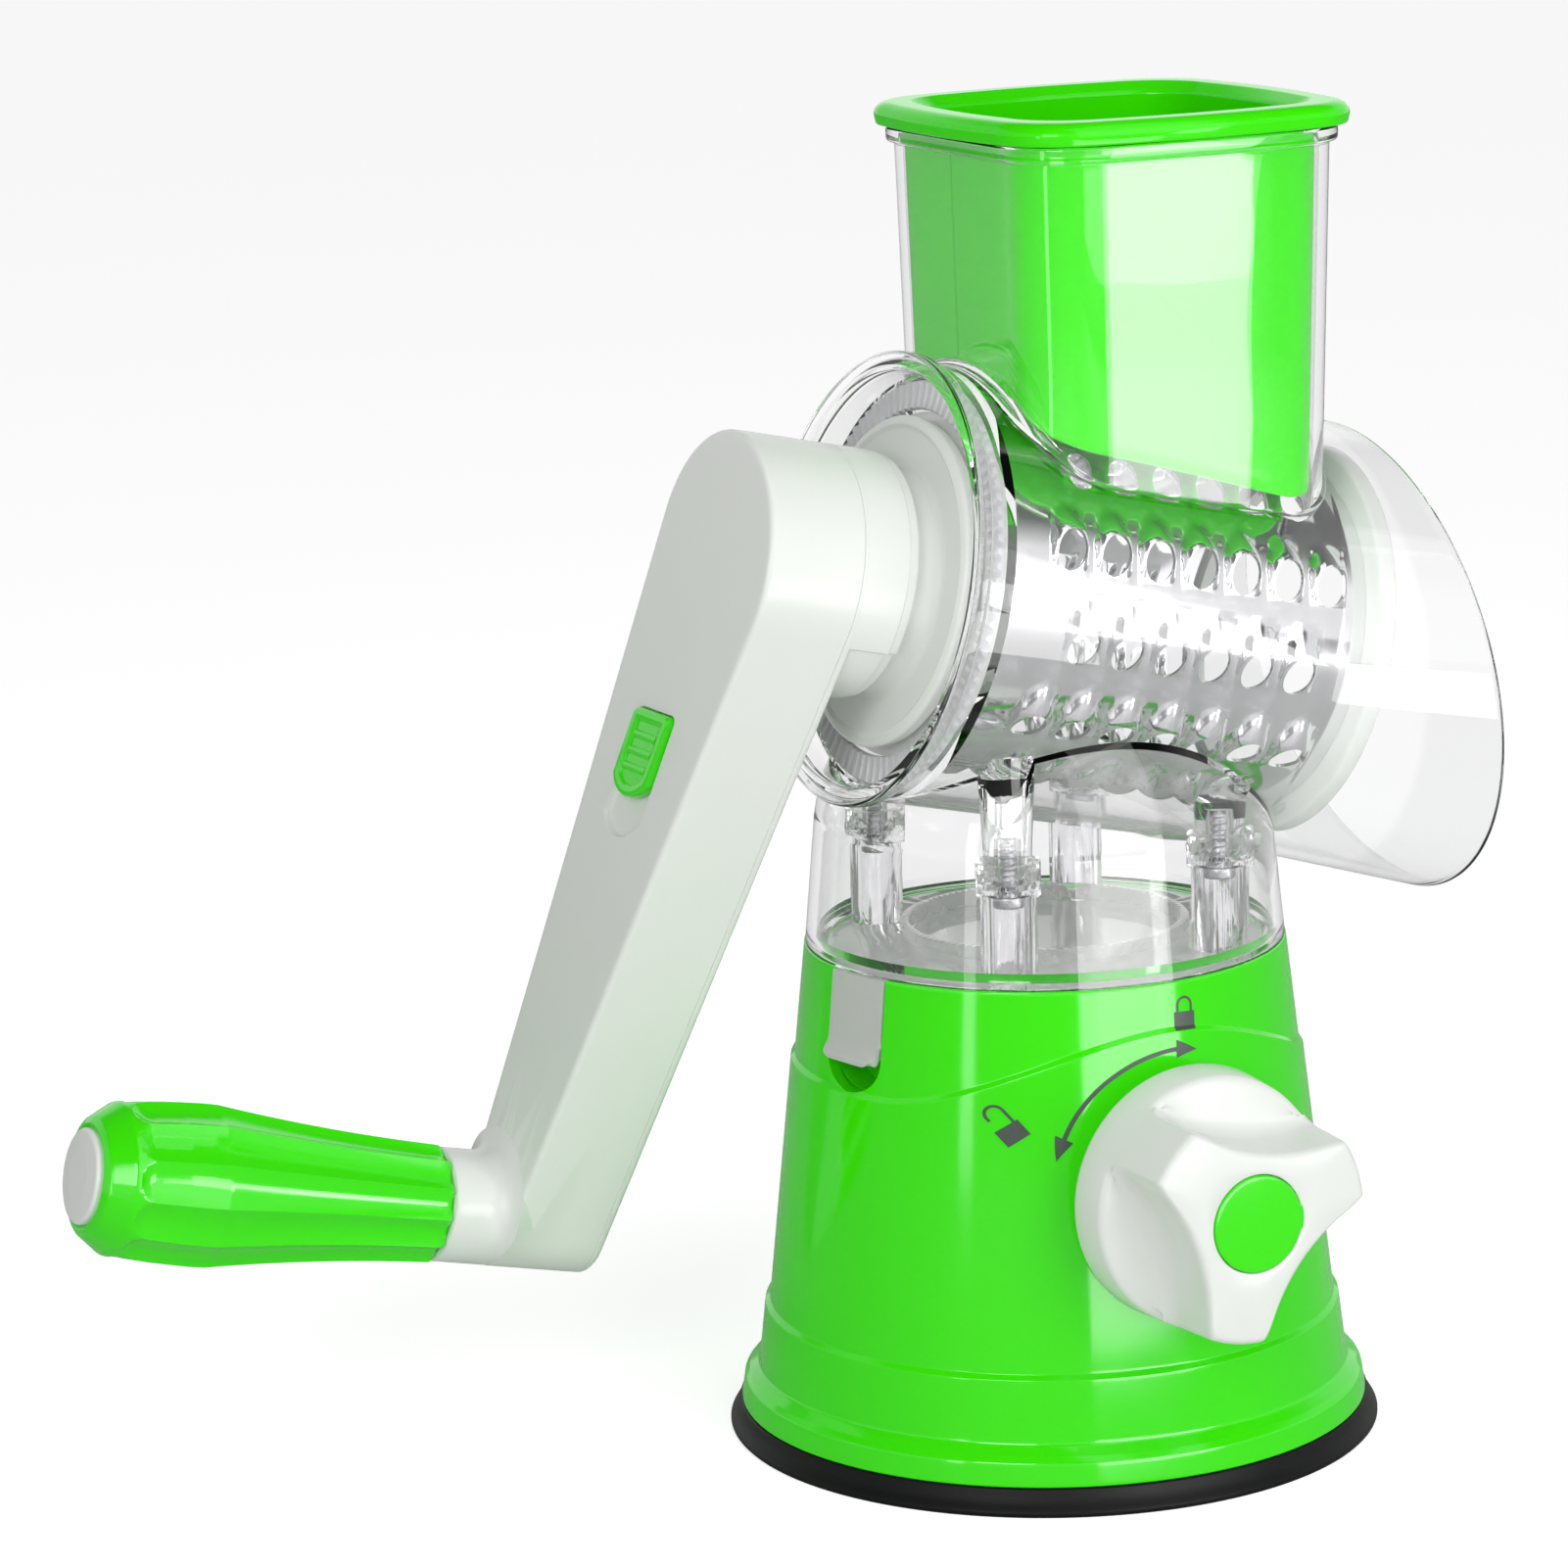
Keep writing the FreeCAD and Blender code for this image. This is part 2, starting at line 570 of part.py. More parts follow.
def suction_pad():
    """Rubber foot: a thick rim with a hollow flare and a flexible sheet inside it."""
    pad = turned("pad", (
        ("0", "0"),
        ("foot_radius", "0"),
        ("foot_radius", "foot_lip", "pad_flare", "right"),
        ("pad_top_radius", "pad_height"),
        ("pad_land", "pad_height"),
        ("pad_land - pad_height + pad_sheet", "pad_sheet"),
        ("0", "pad_sheet"),
    ))
    subpart(pad, "suction_pad")


def latch_pocket():
    """Recess that holds the latch, and the walls behind and beside it."""
    half = "latch_width / 2 + fit_gap"
    walls = box("pocket_walls", ("pocket_depth - pocket_wall", "top_radius - shell_wall"),
                both(half + " + pocket_wall"), (POCKET_BOTTOM + " - pocket_wall", DECK_TOP))
    recess = box("pocket_recess", ("pocket_depth", "low_ridge_radius"), both(half),
                 (POCKET_BOTTOM, "base_height + pocket_wall"))
    pin_hole = cylinder("pocket_pin_hole", "pin_radius + shaft_play", *both(half + " + pocket_wall"))
    put(pin_hole, LATCH_PIN, at("0", "0", f"-({half} + pocket_wall)"))
    holes = fuse("pocket_holes", recess, pin_hole)
    return put(walls, LATCH, at("pocket_depth - pocket_wall", f"-({half} + pocket_wall)",
                                POCKET_BOTTOM + " - pocket_wall")), put(holes, LATCH)


def base_shell():
    """Green shell: bottom flange, two ridges, deck, ledge, shaft boss and latch pocket."""
    shell = turned("shell", (
        ("pad_top_radius", "pad_height"),
        ("crease_radius", "crease_height", "flange_sweep", "right"),
        ("ankle_radius", "ankle_height"),
        ("low_ridge_radius", "low_ridge_height"),
        ("low_ridge_radius - ridge_step", "low_ridge_height + ridge_step"),
        ("high_ridge_radius", "high_ridge_height"),
        ("high_ridge_radius - ridge_step", "high_ridge_height + ridge_step"),
        ("top_radius", "base_height"),
        ("top_radius - shell_wall", "base_height"),
        ("top_radius - shell_wall", DECK_TOP),
        ("deck_hole", DECK_TOP),
        ("deck_hole", DECK_BOTTOM),
        ("top_radius - shell_wall", DECK_BOTTOM),
        ("high_ridge_radius - ridge_step - shell_wall", "high_ridge_height"),
        ("low_ridge_radius - ridge_step - shell_wall", "low_ridge_height"),
        ("ankle_radius - shell_wall", "ankle_height"),
        ("crease_radius - shell_wall", "crease_height"),
        ("pad_top_radius - shell_wall", "pad_height"),
    ))
    ledge_top = "ledge_height + ledge_thickness"
    ledge = tube("ledge", wall_inside("ledge_height") + " + shell_wall / 2", "ledge_radius",
                 "ledge_height", ledge_top)
    boss = put(cylinder("shaft_boss", "boss_radius", "boss_end", BOSS_FRONT), KNOB, at("0", "0", "boss_end"))
    bore = put(cylinder("shaft_bore", "cam_shaft_radius + shaft_play", "boss_end", BOSS_FRONT),
               KNOB, at("0", "0", "boss_end"))
    pocket_walls, pocket_holes = latch_pocket()
    pilots = [cylinder("ledge_pilot_" + side, "frame_screw_radius", "ledge_height", ledge_top,
                       f"{x}frame_screw_circle * sqrt(0.5)", f"{y}frame_screw_circle * sqrt(0.5)")
              for side, x, y in QUARTERS]
    solid = fuse("shell_solid", shell, ledge, boss, pocket_walls)
    subpart(cut("base_shell", solid, bore, pocket_holes, *pilots), "base_shell")


def lift_frame():
    """Plate under the ledge with the tube that guides the stem and the cam shaft's rear bearing."""
    plate = cylinder("guide_disc", less(wall_inside("ledge_height"), "fit_gap"), PLATE_BOTTOM, "ledge_height")
    sleeve = cylinder("guide_tube", "guide_radius", PLATE_BOTTOM + " - guide_length", PLATE_BOTTOM)
    back = "cam_half_length + post_gap"
    post = box("bearing_post", both("post_half_width"), (back, back + " + post_thickness"),
               (PLATE_BOTTOM, "knob_height + post_rise"))
    bore = cylinder("guide_bore", "stem_radius + shaft_play", PLATE_BOTTOM + " - guide_length",
                    "ledge_height")
    journal = put(cylinder("journal_bore", "journal_radius + shaft_play", "0", "post_thickness"),
                  KNOB, at("0", "0", f"-({back} + post_thickness)"))
    holes = [cylinder("guide_hole_" + side, "frame_screw_radius", PLATE_BOTTOM, "ledge_height",
                      f"{x}frame_screw_circle * sqrt(0.5)", f"{y}frame_screw_circle * sqrt(0.5)")
             for side, x, y in QUARTERS]
    subpart(cut("guide", fuse("guide_solid", plate, sleeve, post), bore, journal, *holes), "lift_frame")


def frame_screws():
    """Four screws that hold the guide plate to the ledge."""
    screws = [screw("frame_screw_" + side, "frame_screw_head", "frame_screw_head_height",
                    "frame_screw_radius", "frame_screw_length", PLATE_BOTTOM,
                    f"{x}frame_screw_circle * sqrt(0.5)", f"{y}frame_screw_circle * sqrt(0.5)")
              for side, x, y in QUARTERS]
    subpart(fuse("frame_screw_set", *screws), "frame_screws")


# ---- lift and lock -----------------------------------------------------------------------------

STEM_FOOT_TOP = "pad_sheet + stem_foot_height"
STEM_SPLIT = "pad_sheet + stem_foot_height + stem_boss_height"
CAM_LOW = "knob_height - cam_throw * sin(lock_angle / 2) - cam_radius"
CAM_HIGH = "knob_height - cam_throw * sin(lock_angle / 2) + cam_radius"


def stem_foot():
    """Disc bonded to the rubber sheet, with the boss that takes the rod."""
    disc = cylinder("foot_disc", "stem_foot_radius", "pad_sheet", STEM_FOOT_TOP)
    boss = cylinder("foot_boss", "stem_radius", STEM_FOOT_TOP, STEM_SPLIT)
    socket = cylinder("foot_socket", "stem_stud", STEM_FOOT_TOP, STEM_SPLIT)
    subpart(cut("stem_base", fuse("stem_base_solid", disc, boss), socket), "stem_foot")


def lift_yoke():
    """Rod with the yoke that rides on the cam."""
    bottom = CAM_LOW + " - yoke_play - yoke_bar"
    stud = cylinder("yoke_stud", "stem_stud", STEM_FOOT_TOP, STEM_SPLIT)
    rod = cylinder("yoke_rod", "stem_radius", STEM_SPLIT, bottom + " + yoke_bar / 2")
    frame = box("yoke_frame", both("yoke_half_width"), both("yoke_half_depth"),
                (bottom, CAM_HIGH + " + fit_gap + yoke_bar"))
    window = box("yoke_window", both("cam_throw + cam_radius + yoke_play"), both("yoke_half_depth"),
                 (CAM_LOW + " - yoke_play", CAM_HIGH + " + fit_gap"))
    subpart(fuse("yoke", stud, rod, cut("yoke_ring", frame, window)), "lift_yoke")


def lift_spring():
    """Spring between the foot disc and the guide tube, pressing the foot down."""
    low = STEM_FOOT_TOP + " + spring_wire + shaft_play"
    high = PLATE_BOTTOM + " - guide_length - spring_wire - shaft_play"
    subpart(coil("lift_coil", "spring_radius", "spring_wire", low, high, "spring_turns"), "lift_spring")


def cam_shaft():
    """Shaft in the boss with the round cam and the rear journal."""
    shaft = cylinder("cam_rod", "cam_shaft_radius", "cam_half_length", KNOB_BACK + " + knob_socket")
    offset = "-(cam_throw * sin(lock_angle / 2))"
    cam = cylinder("cam_disc", "cam_radius", *both("cam_half_length"), x=offset, y=offset)
    journal = cylinder("cam_journal", "journal_radius",
                       "-(cam_half_length + post_gap + post_thickness)", "-(cam_half_length)")
    pilot_low = KNOB_FRONT + " - knob_screw_depth - knob_screw_head_height - knob_screw_length"
    pilot = cylinder("cam_pilot", "knob_screw_radius", pilot_low, KNOB_BACK + " + knob_socket")
    subpart(cut("cam", fuse("cam_solid", shaft, cam, journal), pilot), "cam_shaft", KNOB)


def lock_knob():
    """White knob: a round plate with three lobes in front of it."""
    plate = cylinder("knob_plate_disc", "knob_radius", KNOB_BACK, KNOB_BACK + " + knob_plate")
    lobes = cylinder("knob_lobes", "lobe_radius", KNOB_BACK, KNOB_FRONT)
    scoops = []
    for index in range(3):
        scoop = cylinder(f"knob_scoop_{index}", "scoop_radius", KNOB_BACK + " + knob_plate", KNOB_FRONT)
        put(scoop, at("0", "0", "0", turn("z", f"lobe_phase + {60 + 120 * index}")),
            at("scoop_floor + scoop_radius", "0", KNOB_BACK + " + knob_plate"))
        scoops.append(scoop)
    socket = cylinder("knob_socket_hole", "cam_shaft_radius", KNOB_BACK, KNOB_BACK + " + knob_socket")
    seat = cylinder("knob_cap_seat", "cap_radius", KNOB_FRONT + " - cap_depth", KNOB_FRONT)
    head_low = KNOB_FRONT + " - knob_screw_depth - knob_screw_head_height"
    well = cylinder("knob_screw_well", "knob_screw_head + shaft_play", head_low, KNOB_FRONT)
    hole = cylinder("knob_screw_hole", "knob_screw_radius", KNOB_BACK, KNOB_FRONT)
    solid = fuse("knob_solid", plate, cut("knob_star", lobes, *scoops))
    subpart(cut("knob", solid, socket, seat, well, hole), "lock_knob", KNOB)


def knob_cap():
    """Green disc in the middle of the knob."""
    disc = cylinder("knob_disc", "cap_radius", "0", "cap_depth + cap_step")
    subpart(disc, "knob_cap", KNOB, at("0", "0", KNOB_FRONT + " - cap_depth"))


def knob_screw():
    """Screw under the disc that holds the knob on its shaft."""
    made = screw("knob_bolt", "knob_screw_head", "knob_screw_head_height", "knob_screw_radius",
                 "knob_screw_length", "0")
    head_low = KNOB_FRONT + " - knob_screw_depth - knob_screw_head_height"
    subpart(made, "knob_screw", KNOB, at("0", "0", head_low, turn("x", "180")))


# ---- latch -------------------------------------------------------------------------------------

def tab_outside(height):
    """Outer face of the latch tab, just inside the shell's surface above the upper ridge."""
    fall = "(high_ridge_radius - ridge_step - top_radius) / (base_height - high_ridge_height - ridge_step)"
    return f"(top_radius - latch_sink + (base_height - ({height})) * {fall})"


def body_latch():
    """White tab that rocks on its pin, with the catch at its top and a flared lower lip."""
    top = "base_height - latch_top"
    nib_top = top + " - nib_drop"
    nib_bottom = top + " - nib_drop - nib_height"
    inside = less(tab_outside("base_height"), "latch_thickness")
    low_inside = less(tab_outside(LATCH_BOTTOM), "latch_thickness")
    tab = side_profile("latch_tab", (
        (tab_outside(top), top),
        (inside, top),
        (inside, LATCH_BOTTOM + " + lip_reach"),
        (low_inside, LATCH_BOTTOM + " + latch_sink"),
        (more(tab_outside(LATCH_BOTTOM), "latch_lip"), LATCH_BOTTOM),
        (more(tab_outside(LATCH_BOTTOM), "latch_lip"), LATCH_BOTTOM + " + latch_sink * 4"),
        (tab_outside(LATCH_BOTTOM + " + lip_reach"), LATCH_BOTTOM + " + lip_reach"),
    ), "latch_width / 2")
    nib = box("latch_nib", (less(inside, "nib_depth"), more(inside, "nib_depth / 2")),
              both("nib_width / 2"), (nib_bottom, nib_top))
    knuckle = put(cylinder("latch_knuckle", "knuckle_radius", *both("latch_width / 2")),
                  LATCH_PIN, at("0", "0", "-(latch_width / 2)"))
    hole = put(cylinder("latch_pin_way", "pin_radius + shaft_play", *both("latch_width / 2")),
               LATCH_PIN, at("0", "0", "-(latch_width / 2)"))
    gap = put(cylinder("latch_lug_gap", "knuckle_radius + fit_gap", *both("lug_gap")),
              LATCH_PIN, at("0", "0", "-(lug_gap)"))
    subpart(cut("latch", fuse("latch_solid", tab, nib, knuckle), hole, gap), "body_latch", LATCH)


def latch_pin():
    """Pin on which the latch rocks, held in the pocket's side walls."""
    length = "latch_width + 2 * fit_gap + 2 * pocket_wall"
    pin = cylinder("pin", "pin_radius", "0", length)
    subpart(pin, "latch_pin", LATCH, LATCH_PIN, at("0", "0", f"-({length}) / 2"))


def latch_spring():
    """Coil round the pin between the latch's lugs."""
    made = coil("latch_coil", "pin_radius + fit_gap + coil_wire", "coil_wire",
                "-(lug_gap - coil_wire - fit_gap)", "lug_gap - coil_wire - fit_gap", "coil_turns")
    subpart(made, "latch_spring", LATCH, LATCH_PIN)


# ---- clear floor and housing -------------------------------------------------------------------

FLOOR_BOTTOM = DECK_TOP + " + floor_play"
FLOOR_TOP = DECK_TOP + " + floor_play + floor_thickness"
TUBE_TOP = FLOOR_TOP + " + tube_height"
SCREW_SEAT = TUBE_TOP + " - seat_depth - web_thickness"
PILLAR_FOOT = TUBE_TOP + " - seat_depth"
SPIGOT_OUTSIDE = "top_radius - shell_wall - fit_gap"
SPIGOT_INSIDE = "top_radius - shell_wall - fit_gap - clear_wall"


def corners(made):
    """One of what is made at each of the four screw tubes: made(side, x, y)."""
    return [made(side, x + "tube_spread_along", y + "tube_spread_across") for side, x, y in QUARTERS]


def floor_plate():
    """Clear floor with its ring and the four tubes that take the housing's screws."""
    plate = cylinder("floor_disc", SPIGOT_INSIDE + " - fit_gap", FLOOR_BOTTOM, FLOOR_TOP)
    ring = tube("floor_ring", "ring_radius", "ring_radius - ring_wall", FLOOR_BOTTOM,
                FLOOR_TOP + " + ring_height")
    tubes = corners(lambda side, x, y: cylinder(
        "floor_tube_" + side, "tube_radius", FLOOR_BOTTOM, TUBE_TOP, x, y))
    collars = corners(lambda side, x, y: cylinder(
        "floor_collar_" + side, "collar_radius", TUBE_TOP + " - collar_height", TUBE_TOP, x, y))
    wells = corners(lambda side, x, y: cylinder(
        "floor_well_" + side, "housing_screw_head + fit_gap", FLOOR_BOTTOM, SCREW_SEAT, x, y))
    ways = corners(lambda side, x, y: cylinder(
        "floor_way_" + side, "housing_screw_radius", FLOOR_BOTTOM, TUBE_TOP, x, y))
    seats = corners(lambda side, x, y: cylinder(
        "floor_seat_" + side, "pillar_radius + fit_gap", PILLAR_FOOT, TUBE_TOP, x, y))
    solid = fuse("floor_solid", plate, ring, *tubes, *collars)
    subpart(cut("floor", solid, *wells, *ways, *seats), "floor_plate")


def housing_screws():
    """Four screws that hold the floor to the clear housing."""
    screws = corners(lambda side, x, y: screw(
        "housing_screw_" + side, "housing_screw_head", "housing_screw_head_height",
        "housing_screw_radius", "housing_screw_length", SCREW_SEAT, x, y))
    subpart(fuse("housing_screw_set", *screws), "housing_screws")


def hood_loft(name, inset):
    """Round passage from the tunnel's front end to the outlet mouth."""
    start = (DRUM, at("0", "0", "tunnel_front"))
    end = (at("mouth_distance", "0", MOUTH_HEIGHT, turn("y", "90 - mouth_tilt")),)
    return circle_loft(name, f"tunnel_radius - {inset}", start, f"mouth_radius - {inset}", end)


def skirt():
    """Clear skirt from the green shell up to the tunnel, with the spigot inside the shell."""
    edge = "(top_radius - skirt_shift)"
    shoulder = "(top_radius - skirt_shift - skirt_slope * skirt_height)"
    shoulder_at = "base_height + skirt_height"
    top = "base_height + skirt_height + shoulder_height"
    return turned("skirt", (
        (edge, "base_height"),
        (shoulder, shoulder_at, "shoulder_sweep", "left"),
        ("shoulder_radius", top),
        ("shoulder_radius - clear_wall", top, "shoulder_sweep - clear_wall", "right"),
        (shoulder + " - clear_wall", shoulder_at),
        (edge + " - clear_wall - skirt_slope * spigot_root", "base_height + spigot_root"),
        (SPIGOT_INSIDE, "base_height + spigot_root / 4"),
        (SPIGOT_INSIDE, "base_height - spigot_depth"),
        (SPIGOT_OUTSIDE, "base_height - spigot_depth"),
        (SPIGOT_OUTSIDE, "base_height"),
    ))


def clear_body():
    """Clear housing in one moulding: skirt, tunnel with its end wall, hood and hopper."""
    tunnel = put(cylinder("tunnel_solid", "tunnel_radius", "-(tunnel_back)", "tunnel_front"),
                 DRUM, at("0", "0", "-(tunnel_back)"))
    lip = put(cylinder("tunnel_lip", "lip_radius", "-(tunnel_back)", "lip_length - tunnel_back"),
              DRUM, at("0", "0", "-(tunnel_back)"))
    hopper = square_prism("hopper_solid", "hopper_half", "hopper_corner", "hopper_root", "hopper_top",
                          "hopper_draft", "hopper_top")
    hopper_rim = square_prism("hopper_rim", "hopper_half + hopper_lip", "hopper_corner + hopper_lip",
                              "hopper_top - hopper_lip_height", "hopper_top")
    pillars = corners(lambda side, x, y: cone(
        "pillar_" + side, "pillar_radius", "pillar_top_radius", PILLAR_FOOT,
        PILLAR_FOOT + " + pillar_rise", x, y))
    solid = fuse("housing_solid", tunnel, lip, hood_loft("hood_solid", "0"), hopper, hopper_rim, skirt(),
                 *pillars)
    bore = put(cylinder("tunnel_bore", "tunnel_radius - clear_wall", "-(tunnel_back)", "tunnel_front"),
               DRUM, at("0", "0", "-(tunnel_back)"))
    chute = square_prism("hopper_bore", "hopper_half - hopper_wall", "hopper_corner - hopper_wall",
                         "axis_height", "hopper_top", "hopper_draft", "hopper_top")
    pilots = corners(lambda side, x, y: cylinder(
        "pillar_pilot_" + side, "housing_screw_radius", PILLAR_FOOT, SCREW_SEAT + " + housing_screw_length",
        x, y))
    catch_half, catch_low = "(nib_width / 2 + 2 * fit_gap)", "base_height - spigot_depth"
    catch = box("catch_notch", (SPIGOT_INSIDE + " - clear_wall", "top_radius - shell_wall"), both(catch_half),
                (catch_low, "base_height - latch_top"))
    put(catch, LATCH, at(SPIGOT_INSIDE + " - clear_wall", f"-{catch_half}", catch_low))
    hollow = cut("housing_hollow", solid, bore, hood_loft("hood_bore", "clear_wall"), chute, catch, *pilots)
    end_wall = tube("end_wall_ring", "tunnel_radius - clear_wall / 2", "bearing_radius",
                    "-(wall_back)", "end_wall - wall_back")
    subpart(fuse("housing", hollow, put(end_wall, DRUM)), "clear_body")


def food_pusher():
    """Green cup that presses the food onto the drum; its underside follows the drum."""
    half = "(hopper_half - hopper_wall - pusher_gap)"
    corner = "(hopper_corner - hopper_wall - pusher_gap)"
    rest = "hopper_top + fit_gap"
    top = rest + " + rim_height"
    cup = square_prism("pusher_solid", half, corner, "pusher_low", rest, "hopper_draft", "hopper_top")
    rim = square_prism("pusher_rim", "rim_half", "rim_corner", rest, top)
    hollow = square_prism("pusher_hollow_prism", half + " - pusher_wall", corner + " - pusher_wall",
                          "pusher_low", top, "hopper_draft", "hopper_top")
    floors = []
    for name, radius in (("outside", "pusher_hollow"), ("inside", "pusher_hollow + pusher_wall")):
        floor = cylinder("pusher_floor_" + name, radius, "-(tunnel_radius)", "mouth_distance + mouth_radius")
        put(floor, DRUM, at("pusher_hollow - pusher_floor", "0", "-(tunnel_radius)"))
        floors.append(floor)
    room = cut("pusher_room", hollow, floors[1])
    subpart(cut("pusher", fuse("pusher_cup", cup, rim), floors[0], room), "food_pusher")


# ---- drum --------------------------------------------------------------------------------------

WALL_FRONT = "(-(wall_back) + end_wall)"
FLANGE_BACK = "(-(drum_back) - cap_flange)"
DISC_FRONT = "(-(wall_back) - fit_gap)"
HUB_FRONT = "-(hub_end)"
ARM_BACK = "-(arm_back)"
ARM_INSIDE = "-(arm_back + cover_thickness)"
FACE_INSIDE = "-(arm_back + arm_depth - arm_face)"
ARM_FRONT = "-(arm_back + arm_depth)"
BOLT_FRONT = "-(arm_back + arm_depth - bolt_depth)"
NECK_FRONT = "-(arm_back + arm_depth + crank_neck)"
GRIP_BACK = "-(arm_back + arm_depth + crank_neck + fit_gap)"
GRIP_FRONT = "-(arm_back + arm_depth + crank_neck + fit_gap + grip_length)"
SPINDLE_FRONT = GRIP_FRONT + " + grip_recess_depth - fit_gap"


def tooth_places():
    """Distance along the axis and angle above -Y of each tooth. Every other row has one tooth
    less and stands half a pitch further on."""
    pitch = number("tooth_pitch")
    rows = int(number("tooth_rows"))
    count = int(number("tooth_count"))
    for row in range(rows):
        short = row % 2
        for index in range(count - short):
            along = pitch * (index + short / 2) - number("tooth_first")
            yield along, number("tooth_phase") + row * 360 / rows


def grater_drum():
    """Steel drum with a hole and a half dome over its upper side at each tooth."""
    radius = number("drum_radius")
    inner = radius - number("drum_sheet")
    back = -number("drum_back")
    length = number("drum_front") - back
    ball = number("tooth_ball")
    axis = FreeCAD.Vector(0, 0, 1)
    start = FreeCAD.Vector(0, 0, back)
    sheet_metal = Part.makeCylinder(radius, length, start).cut(Part.makeCylinder(inner, length, start))
    centre = FreeCAD.Vector(radius + number("tooth_rise") - ball, 0, 0)
    dome = Part.makeSphere(ball, centre).cut(Part.makeSphere(ball - number("tooth_skin"), centre))
    above = Part.makeBox(ball, ball, 2 * ball, FreeCAD.Vector(inner, -ball, -ball))
    dome = dome.common(above)
    punch = Part.makeCylinder(number("tooth_hole"), 2 * ball, FreeCAD.Vector(inner - ball, 0, 0),
                              FreeCAD.Vector(1, 0, 0))
    domes = []
    punches = []
    for along, angle in tooth_places():
        for made, kept in ((dome, domes), (punch, punches)):
            copy = made.copy()
            copy.rotate(FreeCAD.Vector(), axis, -90 - angle)
            copy.translate(FreeCAD.Vector(0, 0, along))
            kept.append(copy)
    drum = doc.addObject("Part::Feature", "drum")
    drum.Shape = sheet_metal.cut(Part.makeCompound(punches)).fuse(domes).removeSplitter()
    subpart(drum, "grater_drum", DRUM)


def drum_drive_cap():
    """White cap in the drum's crank end with its journal and the square drive."""
    flange = cylinder("cap_disc", "drum_radius", FLANGE_BACK, "-(drum_back)")
    spigot = cylinder("cap_spigot_disc", "drum_radius - drum_sheet - cap_fit", "-(drum_back)",
                      "cap_spigot - drum_back")
    journal = cylinder("cap_journal", "bearing_radius - journal_play", DISC_FRONT, FLANGE_BACK)
    stub = box("cap_stub", both("stub_half"), both("stub_half"), ("-(stub_end)", DISC_FRONT))
    notch = box("cap_notch", ("stub_half - notch_depth", "stub_half"), both("stub_half"),
                (BOLT_FRONT + " - fit_gap", BOLT_FRONT + " + bolt_thickness + fit_gap"))
    solid = fuse("cap_solid", flange, spigot, journal, stub)
    subpart(cut("drive_cap", solid, notch), "drum_drive_cap", CRANK)


def drum_outlet_ring():
    """White ring on the drum's outlet end."""
    ring = tube("outlet_ring", "outlet_ring_radius", "outlet_ring_bore", "drum_front",
                "drum_front + outlet_ring_length")
    subpart(ring, "drum_outlet_ring", DRUM)


def square_way(name, low, high):
    """Hole for the square drive."""
    return box(name, both("stub_half + drive_play"), both("stub_half + drive_play"), (low, high))


def bearing_disc():
    """White disc that turns in front of the end wall."""
    back = DISC_FRONT + " - disc_thickness"
    disc = cylinder("disc", "disc_radius", back, DISC_FRONT)
    boss = cylinder("disc_boss_solid", "disc_boss", HUB_FRONT, back)
    hole = square_way("disc_hole", HUB_FRONT, DISC_FRONT)
    subpart(cut("disc_made", fuse("disc_solid", disc, boss), hole), "bearing_disc", CRANK)


# ---- crank -------------------------------------------------------------------------------------

def arm_outline(inset):
    """Round-ended taper of the arm: two circles and their common tangents."""
    lean = "((arm_head - arm_foot) / arm_length)"
    head, foot = f"(arm_head - {inset})", f"(arm_foot - {inset})"
    rise = f"sqrt(1 - {lean} ^ 2)"
    head_x, foot_x = f"{head} * {lean}", f"arm_length + {foot} * {lean}"
    return (
        (head_x, f"{head} * {rise}", head, "left"),
        (f"-{head}", "0", head, "left"),
        (head_x, f"-({head} * {rise})"),
        (foot_x, f"-({foot} * {rise})", foot, "left"),
        (f"arm_length + {foot}", "0", foot, "left"),
        (foot_x, f"{foot} * {rise}"),
    )


def button_outline(start, length, half):
    """The button's outline along the arm, with its lower end round."""
    sag = f"(button_round - sqrt(button_round ^ 2 - ({half}) ^ 2))"
    low, high = start, f"({start}) + ({length}) - {sag}"
    return ((low, f"-({half})"), (high, f"-({half})", "button_round", "left"), (high, half), (low, half))


ARM_SCREWS = (("left", "arm_screw_near", "arm_screw_side"), ("right", "arm_screw_near", "-(arm_screw_side)"),
              ("middle", "arm_screw_middle", "0"), ("far", "arm_screw_far", "0"))


